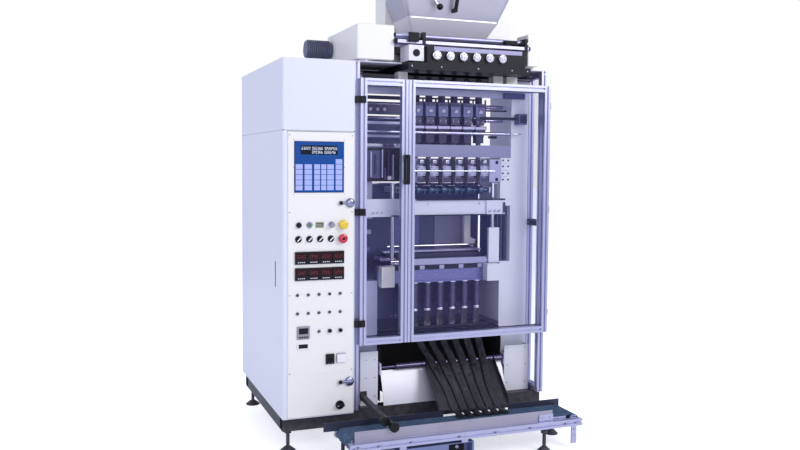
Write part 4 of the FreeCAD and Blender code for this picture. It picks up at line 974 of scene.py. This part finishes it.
hub_y = wall_y(HUB_Z)
hopper_kit = Kit(hopper_metal, black_plastic, zinc_screw, skirt_painted_highlight)
shell = bmesh.new()
rings = []
for z, half, front, corner in HOPPER:
    level = bmesh.new()
    level_loop(level, z, half, front, corner)
    first = len(shell.verts)
    pour(level, shell)
    shell.verts.ensure_lookup_table()
    rings.append(shell.verts[first:])
bmesh.ops.delete(shell, geom=shell.faces[:], context="FACES_ONLY")
for lower, upper in zip(rings[:-1], rings[1:]):
    edges = [e for e in shell.edges if set(e.verts) <= set(lower) or set(e.verts) <= set(upper)]
    bmesh.ops.bridge_loops(shell, edges=edges)
bmesh.ops.recalc_face_normals(shell, faces=shell.faces)
bmesh.ops.solidify(shell, geom=shell.faces[:], thickness=2.5 * MM)
bmesh.ops.recalc_face_normals(shell, faces=shell.faces)
hopper_kit.take(shell, 0)
# Faces below the weld take the skirt finish, which is a painted highlight.
for face in hopper_kit.bm.faces:
    if place(face.calc_center_median()).z < 1930:
        face.material_index = 3
hopper_kit.turned(HUB_X, hub_y - 6, HUB_Z, "y", ((0, 8), (14, 8), (14, 2), (10, 0), (0, 0)), 0)


for z in (1968, 2056):
    hopper_kit.block(829, 847, wall_y(z) - 36, wall_y(z) - 1, z - 9, z + 9, 1, 3, 3)
slant = math.degrees(math.atan2(WELD_Y - RIM_Y, RIM_Z - WELD_Z))
hopper_kit.block(829.5, 846.5, wall_y(2012) - 38, wall_y(2012) - 24, 1962, 2062, 1, 5, 4, lean=("x", slant))
hopper_kit.end("hopper_shell", "machine_frame", ("hopper",))
lever = Kit(chrome, black_plastic)
swing = Matrix.Rotation(math.radians(-35), 4, "Y")
lever.turned(HUB_X, hub_y - 6.5, HUB_Z, "y", ((0, 0), (12, 0), (12, -9), (9, -12), (0, -12)), 0)
lever.rod(HUB_X, hub_y - 13, 1996, "z", 4.6, 56, 0, 20, 0.6)
lever.ball(HUB_X, hub_y - 22, 1966, 15, 1, 32)
pivot = at(HUB_X, hub_y, HUB_Z)
lever.bm.transform(Matrix.Translation(pivot) @ swing @ Matrix.Translation(-pivot))
lever.end("gate_lever", "hopper_gate_lever", ("hopper_gate_lever",))

# %% [markdown]
# The door handle is a bridge: a thin base strip on the stile, two feet and a rounded block as its grip.

# %% Door handle
handle = Kit(black_plastic)
handle.block(545, 557, -2.5, 0.2, 1168, 1299, 0, 1)
for z in (1178, 1289):
    handle.block(543, 559, -44, -1, z - 10, z + 10, 0, 3, 3)
handle.block(543, 560, -46, -34, 1168, 1299, 0, 5, 4)
handle.end("bridge_handle", "left_door", ("door_handle",))
print("handle done")

# %% [markdown]
# ## Strips of sticks
# Each strip is a chain of filled sticks: the film pillows up over the filling and pinches at every seal. A grid is
# wrapped into a flat tube and run down the chute. The tube's thickness follows the sticks, and a seeded noise crumples
# the film.

# %% Strips
STRIP_SPINE = ((200, 560), (194, 490), (160, 421), (100, 361), (0, 258), (-85, 171), (-125, 153), (-170, 149))
LANES, PITCH, LANE_MID = 6, 65.0, 845.0
STATIONS, AROUND = 110, 20
STICK_LENGTH, HALF_WIDTH, HALF_THICK = 96, 19.0, 3.9


def spine_points(count):
    """Evenly spaced points on a smooth curve through the spine."""
    ends = [STRIP_SPINE[0]] + list(STRIP_SPINE) + [STRIP_SPINE[-1]]
    fine = []
    for p0, p1, p2, p3 in zip(ends, ends[1:], ends[2:], ends[3:]):
        for step in range(24):
            t = step / 24
            fine.append(tuple(0.5 * (2 * b + (c - a) * t + (2 * a - 5 * b + 4 * c - d) * t * t +
                                     (3 * b - a - 3 * c + d) * t ** 3) for a, b, c, d in zip(p0, p1, p2, p3)))
    fine.append(STRIP_SPINE[-1])
    gone = [0.0]
    for (y0, z0), (y1, z1) in zip(fine, fine[1:]):
        gone.append(gone[-1] + math.hypot(y1 - y0, z1 - z0))
    points, j = [], 0
    for i in range(count):
        goal = gone[-1] * i / (count - 1)
        while j < len(gone) - 2 and gone[j + 1] < goal:
            j += 1
        t = (goal - gone[j]) / max(1e-6, gone[j + 1] - gone[j])
        points.append((fine[j][0] + (fine[j + 1][0] - fine[j][0]) * t, fine[j][1] + (fine[j + 1][1] - fine[j][1]) * t,
                       goal))
    return points


def strip_middle(lane, y):
    t = min(1.0, max(0.0, (200 - y) / 305))
    offset = lane - (LANES - 1) / 2
    return LANE_MID + 28 * t + offset * (PITCH + (43 - PITCH) * min(1.0, t * 1.4))


random.seed(7)
spine = spine_points(STATIONS)
strips = Kit(film_black_painted_sheen)
for lane in range(LANES):
    part = bmesh.new()
    bmesh.ops.create_grid(part, x_segments=AROUND, y_segments=STATIONS - 1, size=1.0)
    wave = [random.uniform(0, 2 * math.pi) for _ in range(6)]
    start = random.uniform(0, 60)
    for vert in part.verts:
        around = (vert.co.x + 1) / 2 * 2 * math.pi
        station = round((vert.co.y + 1) / 2 * (STATIONS - 1))
        y, z, gone = spine[station]
        y_next, z_next, _ = spine[min(STATIONS - 1, station + 1)]
        y_prev, z_prev, _ = spine[max(0, station - 1)]
        run = math.hypot(y_next - y_prev, z_next - z_prev)
        along_y, along_z = (y_next - y_prev) / run, (z_next - z_prev) / run
        stick = abs(math.sin(math.pi * (gone + start) / STICK_LENGTH)) ** 0.4
        half = min(HALF_WIDTH, 13 + gone * 0.09) * (1.0 - 0.06 * stick)
        side = math.cos(around)
        crumple = (math.sin(gone / 7.0 + 3 * side + wave[0]) * math.sin(gone / 19 + wave[1]) * 1.8 +
                   math.sin(gone / 3.6 + 5 * side + wave[2]) * 0.9 + math.sin(side * 9 + gone / 31 + wave[3]) * 1.0)
        thick = (0.8 + 3.0 * stick) * math.sin(around) + crumple * (0.8 if math.sin(around) > 0 else 0.3)
        thick = max(-HALF_THICK, min(HALF_THICK, thick))
        x = strip_middle(lane, y) + side * half
        vert.co = at(x, y + along_z * -thick, z + along_y * thick)
    bmesh.ops.remove_doubles(part, verts=part.verts, dist=0.05 * MM)
    holes = [e for e in part.edges if e.is_boundary]
    bmesh.ops.holes_fill(part, edges=holes, sides=0)
    bmesh.ops.recalc_face_normals(part, faces=part.faces)
    strips.take(part)
strips.end("stick_strips_film", "machine_frame", ("stick_strips",))

# %% [markdown]
# ## Upper bay
# Over each lane sits a filling head: a hose, a square head with a bright cap and a clamp on the forming tube. A dark
# plate stands behind them as painted shade of the machinery between the heads. The boxes and bars at both sides are
# simplified, and their purpose is a guess.

# %% Filling heads
LANE_CENTRES = [LANE_MID + PITCH * (i - (LANES - 1) / 2) for i in range(LANES)]
heads = Kit(head_metal, dark_steel, chrome, block_metal, matt_black)
for x in LANE_CENTRES:
    heads.rod(x, 200, 1572, "z", 17, 50, 4, 24, 1)
    heads.blocks((x - 25, x + 25, 176, 224, 1481, 1547, 0, 2), (x - 19, x + 19, 170, 177, 1530, 1544, 1, 1))
    heads.turned(x, 176, 1508, "y", ((0, 0), (11, 0), (11, -4), (8, -7), (0, -7)), 2, 24)
    heads.block(x - 21, x + 21, 178, 224, 1444, 1478, 1, 1.5)
    heads.screw(x - 13, 178, 1461, 3.5, 3, 3, 2, 12)
    heads.screw(x + 13, 178, 1461, 3.5, 3, 3, 2, 12)
    heads.block(x - 30.5, x + 30.5, 168, 170, 1424, 1436, 3, 0.5)
    heads.rod(x + 31, 190, 1512, "z", 4, 110, 4, 12, 0.5)
# The first block is the dark plate behind the heads: painted shade.
heads.blocks((672, 1020, 300, 306, 1346, 1560, 1, 1), (700, 1000, 285, 300, 1440, 1470, 3, 1.5),
    (640, 1040, 258, 270, 1568, 1576, 1, 1))
heads.end("filling_heads", "machine_frame")
print("heads", len(LANE_CENTRES))

# %% Bars and boxes at both sides of the heads
sides = Kit(dark_steel, matt_black, block_metal, pale_shaded_bay_paint, chrome, case_paint, zinc_screw)
sides.blocks((402, 640, 205, 225, 1556, 1572, 1, 1), (402, 612, 186, 226, 1486, 1530, 0, 2))
sides.screws((425, 452, 486, 520), 186, (1508,), 8, 7, 6, 2, 20)
sides.blocks((402, 660, 176, 190, 1440, 1452, 2, 1), (402, 660, 262, 300, 1345, 1470, 5, 1),
    (402, 600, 190, 200, 1380, 1392, 2, 1), (402, 560, 142, 148, 1336, 1348, 4, 0.6),
    (404, 600, 104, 148, 1178, 1330, 1, 3), (412, 470, 98, 104, 1192, 1318, 5, 2))
for x, low, high, tone in ((424, 1200, 1312, 2), (446, 1215, 1300, 0), (478, 1196, 1322, 2), (492, 1190, 1240, 5),
                           (508, 1205, 1318, 0), (530, 1186, 1300, 2)):
    sides.block(x - 3, x + 3, 90, 98 if x < 472 else 104, low, high, tone, 1)
sides.block(505, 522, 92, 104, 1186, 1203, 3, 1.5)
sides.rod(1085, 140, 1478, "x", 6.5, 190, 1, 20, 1)
sides.rod(1070, 206, 1518, "x", 4, 190, 1, 16, 0.5)
sides.blocks((1176, 1222, 104, 150, 1450, 1502, 5, 3), (1184, 1214, 100, 104, 1458, 1494, 1, 1))
sides.rod(1182, 130, 1405, "x", 4, 44, 4, 16, 0.5)
sides.blocks((1068, 1104, 190, 215, 1384, 1396, 1, 1), (1112, 1222, 128, 149, 1572, 1600, 5, 2))
sides.screws((1118, 1146), 150, (1186, 1216, 1250, 1278), 5, 4, 3, 0, 12)
sides.screws((1124, 1136), 150, (1200, 1232, 1264), 3, 2, 2, 6, 10)
sides.end("upper_bay_boxes", "machine_frame")

# %% [markdown]
# The sealing blocks carry dark clamps with bright screws, and one ground rod runs across all six.

# %% Clamps on the sealing carriage
seal_front = place(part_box("seal_carriage")[0]).y
clamps = Kit(dark_steel, chrome, matt_black, block_metal)
for x in LANE_CENTRES:
    clamps.blocks((x - 19, x + 19, seal_front - 3, seal_front + 1, 1256, 1283, 0, 1),
        (x - 9, x + 9, seal_front - 6, seal_front - 3, 1262, 1276, 1, 1),
        (x - 19, x + 19, seal_front - 3, seal_front + 1, 1174, 1196, 0, 1),
        (x - 20, x + 20, seal_front - 2, seal_front + 1, 1204, 1248, 3, 1))
    for z in (1210, 1242):
        clamps.screw(x - 13, seal_front - 2, z, 2.6, 2, 2, 2, 12)
        clamps.screw(x + 13, seal_front - 2, z, 2.6, 2, 2, 2, 12)
# Thin matt black strips between the blocks are painted shade in the gaps.
for left, right in zip(LANE_CENTRES, LANE_CENTRES[1:]):
    clamps.block(left + 24, right - 24, seal_front - 0.6, seal_front + 0.4, 1174, 1283, 2, 0)
clamps.rod(850, seal_front - 6, 1227, "x", 3.2, 420, 1, 20, 0.5)
for z in (1187, 1268):
    clamps.block(1066, 1080, seal_front - 0.6, seal_front + 0.4, z - 8, z + 8, 2, 0)
clamps.end("seal_clamps", "seal_carriage")
pull_low, pull_high = place(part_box("pull_roller")[0]), place(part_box("pull_roller")[1])
pull_y, pull_z = (pull_low.y + pull_high.y) / 2, (pull_low.z + pull_high.z) / 2
rings = Kit(chrome)
for x in LANE_CENTRES:
    for side in (-1, 1):
        rings.turned(x + side * 14, pull_y, pull_z, "x", ((7, -2), (20.2, -2), (20.2, 2), (7, 2), (7, -2)), 0, 32)
rings.end("pull_roller_rings", "pull_roller")
print("clamps done")

# %% [markdown]
# ## Jaw carriage and cutter
# The big beam has a dark top lip, a dark foot and button-head screws at its ends. Below it the cutter's rails lie
# behind and in front of the lanes, never across them.

# %% Trim of the jaw beam
jaw_low = place(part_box("jaw_carriage")[0])
trim = Kit(matt_black, zinc_screw, dark_steel)
trim.blocks((640, 1096, jaw_low.y - 0.8, jaw_low.y + 0.4, 1091, 1098, 0, 0),
    (520, 1000, jaw_low.y - 0.8, jaw_low.y + 0.4, 1020, 1026, 0, 0),
    (1086, 1097, jaw_low.y - 0.8, jaw_low.y + 0.4, 1030, 1080, 2, 0))
for x in (432, 452, 474, 1014, 1040, 1062):
    trim.turned(x, jaw_low.y, 1038, "y", ((0, 0), (5, 0), (4, -3.5), (2.4, -3.5), (2.4, -2), (0, -2)), 1, 16)
trim.screws((700, 960), jaw_low.y, (1075,), 4, 3, 2.5, 1, 12)
trim.end("jaw_beam_trim", "jaw_carriage")

# %% Cutter rails, recess panels and drop tube rims
rails = Kit(block_metal, dark_steel, chrome, matt_black, case_paint, white_plastic, zinc_screw, violet_sheet)
rails.rod(800, 262, 866, "x", 5, 470, 2, 20, 0.5)
rails.blocks((545, 1060, 256, 320, 836, 844, 0, 1), (560, 1050, 258, 318, 818, 834, 3, 1),
    (520, 1070, 228, 330, 802, 814, 0, 1), (560, 1060, 156, 172, 792, 800, 0, 1))
rails.rod(800, 165, 806, "x", 3.5, 500, 2, 16, 0.5)
rails.block(480, 1102, 149.6, 152, 764, 786, 3, 0.4)
for x in (520, 600, 700, 800, 900, 1000, 1080):
    rails.block(x - 12, x + 12, 148.6, 151, 766, 784, 0, 0.4)
for x in (540, 612, 690, 768, 846, 924, 1002, 1070):
    rails.screw(x, 152, 738 if x > 560 else 744, 3.4, 2.6, 2.5, 6, 12)
rails.blocks((1106, 1157, 180, 368, 794, 1056, 4, 1), (1112, 1122, 172, 180, 800, 1050, 3, 1),
    (1134, 1144, 172, 180, 800, 1050, 3, 1), (402, 478, 300, 368, 727, 1056, 4, 1),
    (404, 470, 200, 206, 1004, 1044, 0, 1.5), (404, 478, 240, 300, 930, 952, 0, 1.5),
    (404, 478, 250, 300, 850, 870, 7, 1.5), (404, 478, 232, 300, 780, 812, 3, 1.5))
rails.screws((418, 436), 200, (1024,), 5, 4, 3, 3, 12)
rails.block(1004, 1038, 335, 366, 862, 1012, 5, 1.5)
rails.block(1026, 1060, 330, 362, 850, 890, 5, 1.5, lean=("y", 25))
for x in LANE_CENTRES:
    rails.turned(x, 200, 568, "z", ((15, -3), (18.6, -3), (18.6, 5), (17.4, 7), (15, 7), (15, -3)), 2, 32)
    rails.turned(x, 200, 700, "z", ((17.2, -4), (20, -4), (20, 4), (17.2, 4), (17.2, -4)), 2, 32)
# This dark plate behind the drop tubes is painted shade of the bay behind them.
rails.block(640, 1050, 236, 242, 590, 700, 1, 1)
rails.end("cutter_rails", "machine_frame")
print("cutter done")

# %% [markdown]
# ## Dosing trim, chute cavity and conveyor hardware

# %% Dosing trim
trim = Kit(plate_metal, matt_black, chrome, pale_shaded_bay_paint)
trim.block(672, 1112, -33, -30, 1757, 1776, 0, 0.8)
for y, z in ((-13, 1793), (10, 1822), (60, 1822), (117, 1793)):
    trim.turned(504, y, z, "x", ((0, 0), (11, 0), (11, -10), (8, -13), (0, -13)), 1, 20)
    trim.turned(1154, y, z, "x", ((0, 0), (10, 0), (10, 7), (0, 9)), 1, 20)
for x in (1036, 1118, 1150):
    trim.turned(x, -16, 1816, "y", ((0, 0), (8, 0), (8, -7), (5, -10), (0, -10)), 1 if x < 1140 else 2, 20)
trim.blocks((1030, 1098, -14, 0, 1806, 1826, 1, 2), (552, 600, -36, -24, 1792, 1832, 1, 2))
trim.turned(583, -44, 1742, "y", ((0, 0), (16, 0), (16, -3), (9, -5), (0, -5)), 1, 28)
trim.screws((556, 610), -44, (1716, 1768), 3.5, 3, 3, 2, 12)
trim.screws((560, 700, 880, 1050, 1130), -50, (1685,), 4, 3.4, 3, 2, 12)
trim.end("dosing_trim", "machine_frame")

# %% Star knobs and clamp post
for name in ("clamp_knob_left", "clamp_knob_right"):
    low, high = place(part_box(name)[0]), place(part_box(name)[1])
    middle_x, middle_z, radius = (low.x + high.x) / 2, (low.z + high.z) / 2, (high.z - low.z) / 2
    star = Kit(black_plastic)
    star.turned(middle_x, low.y, middle_z, "y", ((0, 0.6), (radius * 0.4, 0.4), (radius * 0.78, 2.5),
                                                 (radius * 0.8, 13.5), (radius * 0.5, 16), (0, 16)), 0, 30)
    for step in range(5):
        turn = step * 2 * math.pi / 5 + 0.3
        star.rod(middle_x + math.cos(turn) * radius * 0.68, low.y + 8, middle_z + math.sin(turn) * radius * 0.68, "y",
                 radius * 0.31, 14, 0, 20, 2)
    star.rod(middle_x, low.y + 26, middle_z, "y", 6, 22, 0, 20, 0.5)
    star.end(name + "_star", name, (name,))
print("star knobs done")

# %% Conveyor, leg panel and frame screws
bolts = Kit(zinc_screw, matt_black, grey_plastic, chrome, black_plastic)
for x in (240, 330, 470, 690, 860, 1030, 1210):
    bolts.turned(x, -310, 115, "y", ((0, 0), (6, 0), (6, -2.5), (4.5, -4), (0, -4)), 0, 6)
for x in (262, 300, 1096, 1134):
    bolts.screw(x, -290 if x > 1000 else -284, 147, 4.5, 4, 3, 0, 16)
for x, y in ((406.0, 92.0), (448.0, 92.0), (1130.0, 104.0), (1228.0, 104.0)):
    for z in (205, 290, 372):
        bolts.screw(x, y, z, 3.5, 3, 1.8, 0, 14)
for z in (60, 84):
    bolts.screw(1249, -305, z, 4, 3.5, 3, 0, 14)
bolts.block(660, 730, -258, -252, 34, 78, 1, 1)
bolts.turned(695, -258, 56, "y", ((0, 0), (9, 0), (9, -6), (6, -8), (0, -8)), 0, 20)
for z in (1686, 980, 180):
    bolts.screw(1271, 32, z, 4.5, 4, 2, 0, 14)
# This thin matt black sheet under the ends of the strips is painted shade in the gap above the belt.
bolts.block(702, 1022, -109, -77, 129.8, 131.4, 1, 0.4)
bolts.end("frame_screws", "machine_frame")

print("bolts done")

# %% [markdown]
# ## Floor, light and camera
# A pale floor under a bright sky of soft panels. The key panel stands front right and high, another fills the
# cabinet's left side, and the sky itself is faintly blue, which gives white paint its lavender shadow.

# %% Floor
floor_bm = bmesh.new()
bmesh.ops.create_circle(floor_bm, cap_ends=True, segments=64, radius=40.0)
floor_mesh = bpy.data.meshes.new("studio_floor")
floor_bm.to_mesh(floor_mesh)
floor_bm.free()
floor = bpy.data.objects.new("studio_floor", floor_mesh)
scene.collection.objects.link(floor)
floor_finish = paint("pale_floor", (0.90, 0.90, 0.94), (0.88, 0.88, 0.92), peel=0.02, gloss=0.6, dust=0.0,
                     Emission_Color=(0.95, 0.96, 1.0, 1))
floor_shader = floor_finish.node_tree.nodes["Principled BSDF"]
seen = node(floor_finish.node_tree, "ShaderNodeLightPath").outputs["Is Camera Ray"]
glow = node(floor_finish.node_tree, "ShaderNodeMath", [(0, seen), (1, 0.62)], operation="MULTIPLY")
floor_finish.node_tree.links.new(glow.outputs[0], floor_shader.inputs["Emission Strength"])
floor_mesh.materials.append(floor_finish)

# %% Sky and soft panels
world = bpy.data.worlds.new("studio_sky")
scene.world = world
world.use_nodes = True
sky = world.node_tree.nodes["Background"]
seen = node(world.node_tree, "ShaderNodeLightPath").outputs["Is Camera Ray"]
shade = node(world.node_tree, "ShaderNodeMix", [("Factor", seen), (6, (0.50, 0.525, 0.68, 1)), (7, (1, 1, 1, 1))],
             data_type="RGBA")
world.node_tree.links.new(shade.outputs[2], sky.inputs["Color"])
sky.inputs["Strength"].default_value = 1.0


def panel_light(name, spot, target, size, power, colour):
    lamp = bpy.data.lights.new(name, "AREA")
    lamp.energy = power
    lamp.color = colour
    lamp.shape = "RECTANGLE"
    lamp.size, lamp.size_y = size
    holder = bpy.data.objects.new(name, lamp)
    holder.location = spot
    holder.rotation_euler = (Vector(target) - Vector(spot)).to_track_quat("-Z", "Y").to_euler()
    scene.collection.objects.link(holder)


panel_light("key_panel", (2.4, -4.4, 3.4), (0.1, 0, 1.0), (2.0, 2.0), 105, (1.0, 0.985, 0.95))
panel_light("front_panel", (-0.6, -5.0, 1.8), (0.1, 0, 1.0), (2.2, 2.2), 30, (1.0, 0.99, 0.98))
panel_light("left_panel", (-5.0, 0.6, 2.2), (-0.6, 0.2, 1.0), (2.5, 2.5), 52, (1.0, 1.0, 1.0))
panel_light("back_panel", (1.0, 4.5, 3.2), (0, 0, 1.2), (3.0, 3.0), 60, (0.95, 0.96, 1.0))

# %% Camera
camera_data = bpy.data.cameras.new("camera")
camera = bpy.data.objects.new("camera", camera_data)
scene.collection.objects.link(camera)
camera_data.lens, camera_data.sensor_width, camera_data.shift_y = 38.1, 36.0, -0.0218
EYE = (-820, -3486, 1260)
yaw, pitch, roll = math.radians(-21.15), math.radians(-2.98), math.radians(0.416)
turn = Matrix.Rotation(yaw, 4, "Z") @ Matrix.Rotation(math.pi / 2 + pitch, 4, "X") @ Matrix.Rotation(roll, 4, "Z")
camera.matrix_world = Matrix.Translation(at(*EYE)) @ turn
scene.camera = camera
scene.view_settings.view_transform = "Standard"
